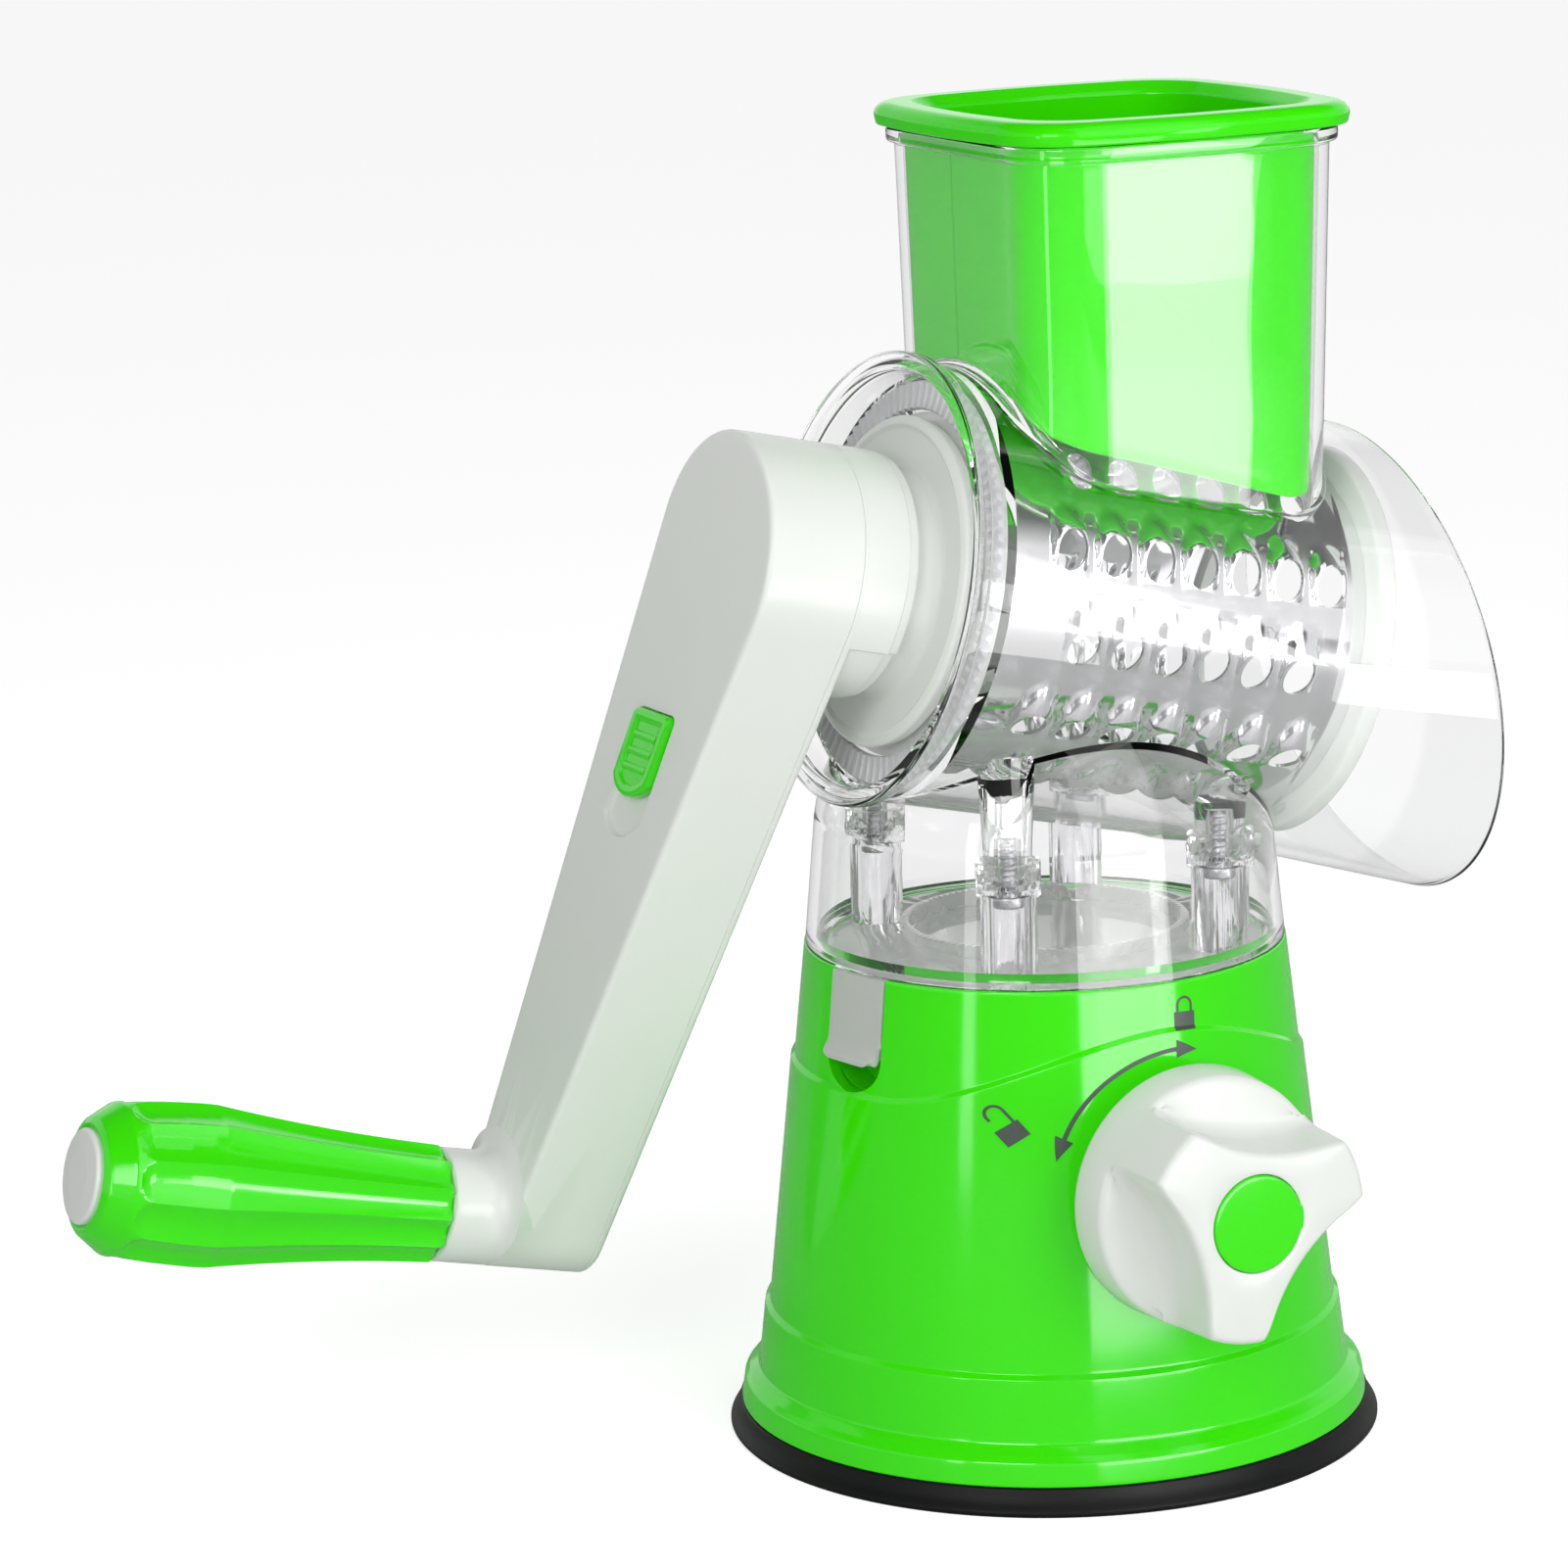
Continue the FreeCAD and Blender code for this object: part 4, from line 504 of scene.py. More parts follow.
def clear(shader):
    """Clear plastic that bends and mirrors light, with a surface that is not quite flat. In the
    hood, past the tunnel's end, it has a greyer tint, which is painted shade. Lamps shine through
    it."""
    tint = shader.mixed(shader.noise(0.03), (0.93, 0.926, 0.934, 1), (0.955, 0.952, 0.958, 1))
    along = shader.node("SeparateXYZ", {0: shader.place()}, "X")
    # Painted shade: past the tunnel's end the hood gets a greyer tint, so that it reads darker.
    hood = along.math("GREATER_THAN", HOOD_STARTS * MM)
    body = shader.node("BsdfPrincipled", {
        "Base Color": shader.mixed(hood, tint, (0.86, 0.86, 0.864, 1)),
        "Roughness": 0.0, "IOR": 1.46, "Transmission Weight": 1.0,
        "Normal": shader.bump(shader.noise(0.04, 1.0), 0.02),
    })
    lamp_ray = shader.node("LightPath", out="Is Shadow Ray")
    return shader.between(lamp_ray, body, shader.grey("BsdfTransparent", 0.985))


def satin(shader):
    """Milky plastic that lets a little of what is behind it through."""
    cloud = shader.noise(0.1, 3.0)
    return shader.node("BsdfPrincipled", {
        "Base Color": shader.mixed(cloud, linear(222, 229, 220), linear(238, 242, 237)),
        "Roughness": cloud * 0.1 + 0.3, "Specular IOR Level": 0.3, "Alpha": cloud * 0.12 + 0.8,
    })


def polished_steel(shader):
    """Bright drum sheet: fine lines from rolling run round it, and the gloss varies with them."""
    lines = shader.noise(1.0, 4.0, 0.6, shader.stretched(DRUM, (0.05, 0.05, 4.0)))
    smear = shader.noise(0.06)
    return shader.node("BsdfPrincipled", {
        "Base Color": shader.mixed(smear, linear(232, 232, 234), linear(246, 246, 247)),
        "Metallic": 1.0, "Roughness": lines * 0.06 + smear * 0.05 + 0.05,
        "Normal": shader.bump(lines, 0.0015, shader.bump(smear, 0.05)),
    })


def zinc(shader):
    """Plated screws and pins, with small stains."""
    stain = shader.noise(0.8, 4.0)
    return shader.node("BsdfPrincipled", {
        "Base Color": shader.mixed(stain, linear(176, 177, 180), linear(214, 214, 216)),
        "Metallic": 1.0, "Roughness": stain * 0.2 + 0.2,
        "Normal": shader.bump(shader.noise(3.0, 3.0), 0.004),
    })


def ink(shader):
    """Dark grey print with a slightly broken edge tone."""
    wear = shader.noise(1.5, 3.0)
    return shader.node("BsdfPrincipled", {
        "Base Color": shader.mixed(wear, linear(48, 62, 52), linear(66, 76, 68)),
        "Roughness": wear * 0.1 + 0.35,
    })


FINISHES = {finish.__name__: finish for finish in (rubber, clear, satin, polished_steel, zinc, ink)}


def material(name):
    """The finish of that name, made once."""
    made = bpy.data.materials.get(name)
    if made is None:
        made = bpy.data.materials.new(name)
        shader = Shader(made)
        if name in PLASTICS:
            shader.ends(plastic(shader, *PLASTICS[name]))
        else:
            shader.ends(FINISHES[name](shader))
    return made


# ---- base --------------------------------------------------------------------------------------

SHELL_SIDE = (
    (61.9, 5.0), (62.6, 5.4, 0.25), (61.9, 9.9, 0.9), (60.9, 11.0, 0.5), (58.9, 12.6, 1.2),
    (57.4, 25.0, 0.35), (56.4, 25.8, 0.3), (50.9, 75.6, 0.35), (50.1, 76.4, 0.3), (47.6, 99.0, 0.4),
)
SHELL_TOP, SHELL_TOP_RADIUS, SHELL_TAPER = 99.0, 47.4, 0.1106
RIDGE_RADIUS, RIDGE_HEIGHT, RIDGE_ARCH, ARCH_REACH = 50.0, 76.0, 14.0, math.radians(70)


def ridge_rise(turn):
    """How far the upper ridge arches up over the knob, at an angle from the front."""
    return RIDGE_ARCH * smooth(1 - np.abs(turn) / ARCH_REACH)


def cone_surface(x, z, lift=0.05):
    """Points on the shell's front, from places (x, z) seen from the front: y lies on the circle
    whose radius is the shell's at that height, which steps in where the ridge passes."""
    side = rounded(SHELL_SIDE, 4)
    rise = ridge_rise(np.arcsin(x / RIDGE_RADIUS))
    radius = np.interp(z - rise, side[:, 1], side[:, 0]) - SHELL_TAPER * rise + lift
    return x, -np.sqrt(np.maximum(radius ** 2 - x ** 2, 0)), z


def suction_foot():
    """A turned profile: a low rim with a hollow flare, a fine groove and the flat underside."""
    profile = rounded((
        (0, 0), (64.6, 0), (65.0, 0.4, 0.3), (65.0, 1.0, 0.3),
        *arc((64.7, 1.5), (63.1, 4.6), -7.0, 5), (62.9, 5.2, 0.3), (58.0, 5.2), (54.0, 3.4),
        (0, 3.4),
    ), 3)
    made = Piece("suction_foot").turned(profile, 220).made()
    return dressed(made, "base", "rubber", "foot_rubber", "suction_pad")


def base_cover():
    """A turned profile with two stepped ridges and a creased flange, its deck and its inside. The
    upper ridge moves along the cone to arch over the knob. The shaft boss is added and the latch's
    recess cut out, with upright sides and a half round floor."""
    profile = rounded(SHELL_SIDE + (
        (45.4, SHELL_TOP, 0.3), (45.4, 96.7, 0.4), (18.0, 96.7, 0.4), (18.0, 94.5), (44.9, 94.5),
        (47.9, 75.6), (54.2, 25.8), (55.7, 17.0), (59.5, 9.8),
    ), 4, closed=True)
    radius, height = profile[:, :1], profile[:, 1:]
    angle = circle(240)
    on_ridge = (np.abs(height - RIDGE_HEIGHT) < 1.2) & (radius > RIDGE_RADIUS - 0.5)
    rise = ridge_rise((angle - math.pi / 2) % (2 * math.pi) - math.pi) * on_ridge
    made = Piece("base_cover").polar(radius - SHELL_TAPER * rise, angle, height + rise,
                                     closed=True).made()
    walls = ((39.2, -10.2), (46.6, -10.2), (46.6, 10.2), (39.2, 10.2))
    joined(made, prism("pocket_walls", LATCH, walls, 73.0, 96.7), "UNION")
    boss = rounded(((0, 40), (13, 40), (13, 55.5, 0.6), (0, 55.5)), 3)
    joined(made, Piece("boss", KNOB).turned(boss, 64).made(), "UNION")
    recess = [(8.0 * math.cos(angle), 82.5 + 6.5 * math.sin(angle))
              for angle in np.linspace(math.pi, 2 * math.pi, 25)] + [(8.0, 101.0), (-8.0, 101.0)]
    outwards = Axes((0, 0, 0), LATCH.turn[:, 1], LATCH.turn[:, 0])
    joined(made, prism("recess", outwards, recess, 41.2, 62.0), "DIFFERENCE")
    softened(made, 0.25, 50)
    return dressed(made, "base", "green_gloss", "green_shell", "base_shell")


KNOB_BACK, KNOB_REACH, KNOB_RADIUS, KNOB_TAPER = 55.8, 26.3, 25.0, 1.6
SCOOP_RADIUS, SCOOP_AWAY, SCOOP_TURN, SCOOP_BLEND = 40.0, 53.4, math.radians(79), 3.4


def knob_wheel():
    """Rings of points in polar form. Each ring has a height, and a radius that is the smaller of
    the side wall's, which falls towards the front, and the star's plus an offset, where the star
    is the rounded meeting of that wall and three cylinders beside the knob."""
    angle = circle(360)[0]
    turn = (angle - SCOOP_TURN + math.pi / 3) % (2 * math.pi / 3) - math.pi / 3
    inside = SCOOP_RADIUS ** 2 - (SCOOP_AWAY * np.sin(turn)) ** 2
    reach = SCOOP_AWAY * np.cos(turn) - np.sqrt(np.maximum(inside, 0))
    scoop = np.where(inside > 0, reach, 60.0)

    def side(height):
        return KNOB_RADIUS - KNOB_TAPER * height / KNOB_REACH

    def star(height):
        gap = np.clip(0.5 + 0.5 * (scoop - side(height)) / SCOOP_BLEND, 0, 1)
        return scoop * (1 - gap) + side(height) * gap - SCOOP_BLEND * gap * (1 - gap)

    rings = [(0.0, 0.0), (24.2, 0.0), (24.8, 0.3), (side(0.9), 0.9), (side(5.0), 5.0)]
    sunk = 1.4 * smooth((side(10.0) - star(14.0) - 1.0) / 4.0)
    for rise, fall in quarter(5):
        height = 8.3 + 1.4 * rise
        rings.append((side(height) - sunk * fall, height))
    inner, outer = np.minimum(star(14.0) + 3.6, side(10.7) - sunk), side(9.7) - sunk
    for part in np.linspace(0.05, 1, 5):
        rings.append((outer * (1 - part) + inner * part, 9.7 + 0.9 * part))
    for rise, fall in quarter(7, 0.15):
        height = 10.6 + 3.6 * fall
        rings.append((np.minimum(star(14.2) + 3.6 * (1 - rise), side(height)), height))
    rings += [(star(height), height) for height in (17.0, 20.5, 24.0)]
    rings += [(star(24.7) - 1.6 * fall, 24.7 + 1.6 * rise) for rise, fall in quarter(6)]
    rings.append((star(KNOB_REACH) * 0.25 + 9.6 * 0.75, KNOB_REACH))
    rings += [(9.85, KNOB_REACH), (9.65, 26.2), (9.55, 26.0), (9.55, 24.1), (0.0, 24.1)]
    radius = np.array([ring + 0 * angle for ring, height in rings])
    height = np.array([[height] for ring, height in rings]) + KNOB_BACK
    made = Piece("knob_wheel", KNOB).polar(radius, angle, height).made(62)
    return dressed(made, "lock", "white_gloss", "white_plastic", "lock_knob")


def knob_disc():
    """A turned disc, faintly crowned, with a small tab at one side."""
    profile = rounded(((0, 79.9), (9.35, 79.9), (9.35, 82.3, 0.35), (4.0, 82.4), (0, 82.42)), 3)
    angle = circle(120)
    away = np.abs((angle + math.pi) % (2 * math.pi) - math.pi)
    tab = 0.55 * smooth((0.27 - away) / 0.03)
    radius = profile[:, :1] + tab * (profile[:, :1] > 9.0)
    made = Piece("knob_disc", KNOB).polar(radius, angle, profile[:, 1:]).made()
    return dressed(made, "lock", "green_gloss", "green_shell", "knob_cap")


def latch_tab():
    """A plate on a grid of width and height, its outer face just inside the shell's, flared
    outwards at the lower edge, whose corners are round; given its thickness inwards."""
    y = np.linspace(-7.7, 7.7, 45)[None]
    low = 85.0 - np.sqrt(np.maximum(9.0 - np.maximum(np.abs(y) - 4.7, 0) ** 2, 0))
    share = np.concatenate((np.linspace(0, 0.3, 14), np.linspace(0.36, 1, 14)))[:, None]
    z = low + (98.7 - low) * share
    flare = 2.3 * smooth((85.6 - z) / 3.6) - 0.5 * smooth((83.2 - z) / 1.4)
    x = SHELL_TOP_RADIUS + (SHELL_TOP - z) * SHELL_TAPER + flare + 0.12 - y ** 2 * 0.0035
    made = Piece("latch_tab", LATCH).grid(x, y, z, around=False).made()
    solid = made.modifiers.new("Thickness", "SOLIDIFY")
    solid.thickness, solid.offset = 1.9 * MM, -1.0
    applied(made)
    with edited(made.data) as work:
        bmesh.ops.recalc_face_normals(work, faces=work.faces)
    shaded(made.data, 40)
    softened(made, 0.5, 50, 3)
    # The latch's finish is the panel's white darkened as painted shade.
    return dressed(made, "latch", "latch_white", "white_plastic", "body_latch")


def lock_marks():
    """Print on the shell round the knob: a strip along an arc with a triangle at each end, and two
    padlocks, one closed and one open, made of strips. Every strip is a grid of places in the front
    view, laid on the shell."""
    piece = Piece("lock_marks")

    def lay(x, z):
        piece.grid(*cone_surface(x, z), around=False)

    def lay_round(radius, turn):
        lay(radius * np.cos(turn), KNOB_HEIGHT + radius * np.sin(turn))

    turn = np.radians(np.linspace(153, 87, 60))[None]
    radius = 24.3 + (np.radians(153) - turn) / np.radians(66) * 2.0
    lay_round(radius + np.linspace(-0.42, 0.42, 3)[:, None], turn)
    share = np.linspace(0, 1, 8)[None]
    spread = np.linspace(-1, 1, 7)[:, None] * 1.75 * (1 - share)
    for end, way in ((0, 1), (-1, -1)):
        reach = radius[0, end]
        lay_round(reach + spread, turn[0, end] + way * 4.6 * share / reach)

    def padlock(x0, z0, lean, opened):
        def put(u, v):
            lay(x0 + u * math.cos(lean) - v * math.sin(lean),
                z0 + u * math.sin(lean) + v * math.cos(lean))

        put(*np.meshgrid(np.linspace(-2.3, 2.3, 8), np.linspace(-2.0, 1.4, 6)))
        top = 2.6 + (1.5 if opened else 0.0)
        bend, wide = np.linspace(0, math.pi, 20)[None], np.linspace(1.25, 1.8, 3)
        put(wide[:, None] * np.cos(bend), wide[:, None] * np.sin(bend) + top)
        for sign in (-1, 1):
            low = 3.4 if opened and sign < 0 else 1.4
            put(*np.meshgrid(sign * wide, np.linspace(low, top, 5)))

    padlock(4.0, 91.6, -0.05, False)
    padlock(-30.2, 72.5, 0.62, True)
    made = piece.made(tidy=False)
    with edited(made.data) as work:
        bmesh.ops.remove_doubles(work, verts=work.verts, dist=DOUBLES)
        for face in work.faces:
            if face.normal.y > 0:
                face.normal_flip()
    return dressed(made, "base", "ink", "foot_rubber")


# ---- housing, pusher and drum ------------------------------------------------------------------

TUNNEL_RADIUS, BORE_RADIUS, TUNNEL_END, MOUTH_RADIUS, MOUTH_BEYOND = 42.5, 40.5, 44.0, 48.7, 6.0
HOPPER_HALF, HOPPER_BULGE, HOPPER_CORNER, HOPPER_TOP, DRAFT = 34.8, 0.1, 14.5, 257.6, 0.02
SCREW_PLACES = [(x, y) for x in (-23.0, 23.0) for y in (-28.7, 28.7)]
SCREW_SEAT, SCREW_PITCH, SHANK = 115.8, 1.25, 10.9


def tube(name, profile, inset, flare):
    """The tunnel, turned from a profile whose last point is at its end, and the hood that goes on
    from there: straight lines from the tunnel's circle to the mouth's, each point a share of the
    way between the two at one angle. The mouth's edge is rounded by a quarter circle that turns
    inwards for a positive flare and outwards for a negative one."""
    angle = circle(240)
    ring = np.stack((np.cos(angle), np.sin(angle), 0 * angle), -1)
    wide, deep = MOUTH_RADIUS - inset, abs(flare)

    def loop(axes, radius, along):
        return axes.world(ring * radius + np.array((0, 0, along)))

    rows = [loop(DRUM, *place) for place in profile]
    first, last = rows.pop(), loop(MOUTH, wide, -deep)
    share = np.linspace(0, 1, 25)[:, None, None]
    rows.append(first * (1 - share) + last * share)
    rows += [loop(MOUTH, wide - flare * fall, -deep * (1 - rise)) for rise, fall in quarter(5)[1:]]
    if flare < 0:
        rows += [loop(MOUTH, wide - flare, MOUTH_BEYOND), loop(MOUTH, 0.0, MOUTH_BEYOND)]
    else:
        rows.append(loop(MOUTH, 0.0, 0.0))
    return Piece(name).grid(*np.moveaxis(np.concatenate(rows), -1, 0)).made()


def hopper(name, rows):
    """Rounded squares for rows of (half width at the top, height), drawn in by the draft below the
    top, closed at both ends."""
    rows = dense(np.array(rows), 5.0)
    rows = np.array([(0.0, rows[0][1]), *rows, (0.0, rows[-1][1])])
    wide, height = rows.T
    half = wide - DRAFT * (HOPPER_TOP - height) * (wide > 0)
    corner = np.where(wide > 0, HOPPER_CORNER + wide - HOPPER_HALF, 0.0)
    x, y = square_outline(half, corner, np.where(wide > 0, HOPPER_BULGE, 0.0))
    return Piece(name).grid(x, y, rows[:, 1:]).made()


def saddle(radius=2.4, deep=0.9):
    """A fillet where the hopper meets the tunnel: the path of a ball that rests on both. Its
    centre lies over the hopper's outline moved outwards by the ball's radius, at that radius
    above the tunnel, and the arc between the two places where it rests runs round the hopper. The
    ball shrinks on the side towards the hood."""
    half, corner = HOPPER_HALF - 1.2, HOPPER_CORNER - 1.2
    on_x, on_y = square_outline(half, corner, HOPPER_BULGE)
    off_x, off_y = square_outline(half + 1, corner + 1, HOPPER_BULGE)
    radius = radius * (1 - smooth((on_x - 41) / 6)) + 0.15
    x, y = on_x + (off_x - on_x) * radius, on_y + (off_y - on_y) * radius
    beyond = TUNNEL_RADIUS + radius
    away = np.sqrt(np.maximum(beyond ** 2 - y ** 2, 1.0))
    centre = np.stack((x, y, AXIS_ORIGIN[2] - x * SLOPE + away * STEEP), -1)
    to_wall = np.stack((on_x - off_x, on_y - off_y, 0 * x), -1)
    to_drum = -np.stack((away * SLOPE / STEEP, y, away / STEEP), -1) / beyond[..., None]
    radius = radius[..., None]
    rows = [centre + to_wall * (radius + deep)]
    for share in np.linspace(0, 1, 9):
        way = to_wall * (1 - share) + to_drum * share
        rows.append(centre + way / np.linalg.norm(way, axis=-1, keepdims=True) * radius)
    rows.append(centre + to_drum * (radius + deep))
    rows.append(centre + (to_wall + to_drum) * (radius + deep) * 0.9)
    return Piece("saddle").grid(*np.moveaxis(np.concatenate(rows), -1, 0), closed=True).made()


def mould_line():
    """A fine upright line down the middle of the hopper's face towards the crank."""
    line = [(HOPPER_CENTRE - HOPPER_HALF + DRAFT * (HOPPER_TOP - z) + out, z) for z, out in
            ((205.0, -0.14), (205.0, 0.8), (254.4, 0.8), (254.4, -0.14))]
    return prism("mould_line", FRONT, line, -0.2, 0.2)


def clear_housing():
    """Solids for the tunnel with its lip, the hood, the hopper with its lip, the skirt and the four
    pillars, united; then the tunnel's bore, the hood's, the hopper's and the screws' are cut out,
    and the end wall is added."""
    tunnel = rounded(((0, -38.5), (44.2, -38.5, 0.8), (44.2, -35.5, 0.9),
                      (TUNNEL_RADIUS, -35.2, 0.6), (TUNNEL_RADIUS, TUNNEL_END)), 4)
    made = tube("clear_housing", dense(tunnel, 4.0), 0.0, 0.7)
    half = HOPPER_HALF
    lip = rounded(((half, 170.0), (half, 254.5, 0.5), (half + 1.6, 254.8, 0.6),
                   (half + 1.6, HOPPER_TOP, 0.7), (28.0, HOPPER_TOP)), 3)
    joined(made, hopper("hopper", lip), "UNION")
    joined(made, saddle(), "UNION")
    joined(made, mould_line(), "UNION")
    skirt = rounded((
        (47.4, 99.0), (45.0, 124.0), *arc((44.9, 125.0), (36.0, 145.5), 50.0, 14)[1:],
        *arc((34.4, 144.3), (42.9, 124.6), -50.0, 14), (45.1, 102.0), (43.1, 99.75), (43.1, 96.9),
        (45.1, 96.9, 0.3), (45.1, 99.0)), 3, closed=True)
    joined(made, Piece("skirt").turned(skirt, 240, closed=True).made(), "UNION")
    for x, y in SCREW_PLACES:
        pillar = ((0, 117.2), (4.3, 117.2), (5.6, 143.2), (0, 143.2))
        joined(made, Piece("pillar").turned(pillar, 48, x=x, y=y).made(), "UNION")
    bore = rounded(((0, -42.0), (41.4, -42.0), (41.4, -38.5), (BORE_RADIUS, -37.6, 0.8),
                    (BORE_RADIUS, TUNNEL_END)), 3)
    joined(made, tube("bore", dense(bore, 4.0), 2.0, -0.7), "DIFFERENCE")
    half = HOPPER_HALF - 1.9
    chute = ((half, 165.5), (half, 256.8), (half + 0.3, 257.4), (half + 0.8, 260.0))
    joined(made, hopper("chute", chute), "DIFFERENCE")
    for x, y in SCREW_PLACES:
        pilot = ((0, 117.0), (1.75, 117.0), (1.75, 126.8), (0, 126.8))
        joined(made, Piece("pilot").turned(pilot, 32, x=x, y=y).made(), "DIFFERENCE")
    wall = rounded(((14.2, -31.0), (41.5, -31.0), (41.5, -29.0), (14.2, -29.0)), 2, closed=True)
    joined(made, Piece("wall", DRUM).turned(wall, 240, closed=True).made(), "UNION", 28)
    levelled(made, 60)
    return dressed(made, "housing", "clear", "clear_plastic", "clear_body")


def floor_plate():
    """The plate with the screw tubes, from the frame."""
    return smoothed("floor_plate", "housing", "clear", "clear_plastic")


def floor_film():
    """The floor plate's satin underside: a thin round sheet with a rolled edge."""
    profile = rounded(((0, 96.85), (42.5, 96.85, 0.05), (42.5, 97.05, 0.05), (0, 97.05)), 2)
    return dressed(Piece("floor_film").turned(profile).made(), "housing", "satin", "clear_plastic")


def housing_screws():
    """A screw at each tube: a turned head and a shank whose radius rises and falls along a helix,
    as the distance along it less a share of the turn, repeated at each pitch."""
    piece = Piece("housing_screws")
    head = rounded(((0, SCREW_SEAT - 2.4), (2.9, SCREW_SEAT - 2.4, 0.6), (2.9, SCREW_SEAT, 0.2),
                    (1.3, SCREW_SEAT)), 3)
    angle, height = circle(24), np.linspace(0, SHANK, 90)[:, None]
    wave = (height / SCREW_PITCH - angle / (2 * math.pi)) % 1
    thread = 1.25 + 0.42 * (1 - np.abs(2 * wave - 1)) * smooth((SHANK - height) / 1.2)
    thread = thread * smooth((SHANK + 0.05 - height) / 0.8 + 0.25)
    for x, y in SCREW_PLACES:
        piece.turned(head, 32, x=x, y=y)
        piece.polar(thread, angle, SCREW_SEAT - 0.2 + height, x, y)
    made = piece.made(50, tidy=False)
    return dressed(made, "housing", "zinc", "screw_steel", "housing_screws")


RIBS = 90


def bearing_ribs():
    """Fine ribs on the end wall round the disc: a flat ring whose height follows a rounded wave in
    the angle."""
    angle = circle(RIBS * 10)
    wave = smooth(0.5 + 0.9 * np.sin(angle * RIBS))
    radius = np.array((33.6, 34.0, 38.9, 39.3, 39.3, 33.6, 33.6))[:, None]
    lift = np.array((0.15, 1.0, 1.0, 0.15, 0.0, 0.0, 0.15))[:, None]
    height = -31.05 - lift * (0.35 + 0.65 * wave)
    made = Piece("bearing_ribs", DRUM).polar(radius, angle, height).made(50)
    return dressed(made, "housing", "ribbed_grey", "frame_plastic")


CUP_TOP, CUP_OUTER, CUP_INNER, CUP_FLOOR = 257.9, 32.2, 29.6, 1.8


def pusher_under(x, y):
    """Height of the pusher's hollow underside, seen from above: a saddle whose lowest line is
    parallel to the drum axis and whose hollow falls away faster towards the outlet."""
    radius = 90.0 - 26.0 * smooth((x + 10.0) / 58.0)
    hollow = np.sqrt(radius ** 2 - y ** 2) - radius + 37.3
    return AXIS_ORIGIN[2] - x * SLOPE + hollow * STEEP


def pusher_cup():
    """Rows of rounded squares from the middle of the underside outwards, up the outer wall, round
    the rolled rim, down the inner wall and back to the middle of the floor. A row is its kind,
    half width, corner, height or share of the height, and bulge."""
    rows = [("under", 30.8 * share, 11.1 * share, 0.0, 0.1 * share)
            for share in (0.0, 0.25, 0.5, 0.75, 0.93, 1.0)]
    rows += [("under", 30.8 + 1.4 * rise, 11.1 + 1.4 * rise, 1.4 * fall, 0.1)
             for rise, fall in quarter(6)[1:]]
    rows += [("side", CUP_OUTER, 12.5, share, 0.1) for share in np.linspace(0.06, 1, 12)]
    rim = rounded(((CUP_OUTER, CUP_TOP), (37.5, CUP_TOP, 0.5), (38.3, CUP_TOP + 4.4, 2.4),
                   (32.0, CUP_TOP + 4.4, 0.9), (CUP_INNER, CUP_TOP + 2.6, 1.4),
                   (CUP_INNER, CUP_TOP - 2.5)), 6)
    for wide, height in rim[1:]:
        out = np.clip((wide - CUP_INNER) / 8.7, 0, 1)
        rows.append(("rim", wide, 12.8 + 2.6 * out, height, 1.2 + 0.5 * out))
    rows += [("inside", CUP_INNER, 10.8 + 2 * share, share, 0.7 + 0.5 * share)
             for share in np.linspace(1, 0.1, 8)]
    rows += [("floor", CUP_INNER - 3 * rise, 10.8 - 2.4 * rise, 3 * fall, 0.7)
             for rise, fall in quarter(5)]
    rows += [("floor", 26.6 * share, 8.4 * share, 3.0, 0.7 * share)
             for share in (0.93, 0.75, 0.5, 0.25, 0.0)]
    kind = np.array([row[0] for row in rows])[:, None]
    half, corner, lift, bulge = np.array([row[1:] for row in rows]).T
    lift = lift[:, None]
    x, y = square_outline(half, corner, bulge)
    under = pusher_under(x, y)
    floor = under + CUP_FLOOR + 3
    z = np.select([kind == "under", kind == "side", kind == "rim", kind == "inside"],
                  [under + lift, under + 1.4 + lift * (CUP_TOP - under - 1.4), lift + 0 * x,
                   floor + lift * (CUP_TOP - 2.5 - floor)], floor - lift)
    shrink = 1 - DRAFT * np.clip(CUP_TOP - z, 0, None) / CUP_OUTER
    x = HOPPER_CENTRE + (x - HOPPER_CENTRE) * shrink
    made = Piece("pusher_cup").grid(x, y * shrink, z).made(36)
    return dressed(made, "pusher", "green_cup", "green_pusher", "food_pusher")


TOOTH_PITCH, TOOTH_FIRST, TOOTH_PHASE, TOOTH_ROWS, TEETH = 9.7, 13.3, 22.5, 12, 7
DRUM_RADIUS, SHEET, DRUM_FROM, DRUM_TO = 33.5, 0.75, -25.0, 54.0
ROW_WIDTH = 2 * math.pi * DRUM_RADIUS / TOOTH_ROWS
HOLE_WIDE, HOLE_TALL, HOOD_WIDE, HOOD_LONG = 3.15, 3.75, 3.95, 9.3


def tooth_rise(s, t, height):
    """Height of a tooth over the sheet, at s along the sheet below the hole's middle and t along
    the drum. A half-round hood widens and grows from a point above the hole to its full height at
    the hole's upper edge. From there its edge falls straight to the sheet at the hole's lower edge,
    and its sides drop from the hole's edge to the sheet in a quarter round."""
    hole = HOLE_WIDE * np.sqrt(np.clip(1 - (s / HOLE_TALL) ** 2, 0, 1))
    width = HOOD_WIDE * np.sqrt(np.clip((s + HOOD_LONG) / 5.2, 0, 1))
    beside = np.maximum(np.abs(t) - hole, 0) / np.maximum(width - hole, 0.02)
    above = np.clip((s + HOOD_LONG) / (HOOD_LONG - HOLE_TALL), 0, 1) ** 0.8
    below = np.clip((HOLE_TALL - s) / (2 * HOLE_TALL), 0, 1)
    grow = np.where(s < -HOLE_TALL, above, below)
    return height * grow * np.sqrt(np.clip(1 - beside ** 2, 0, 1))


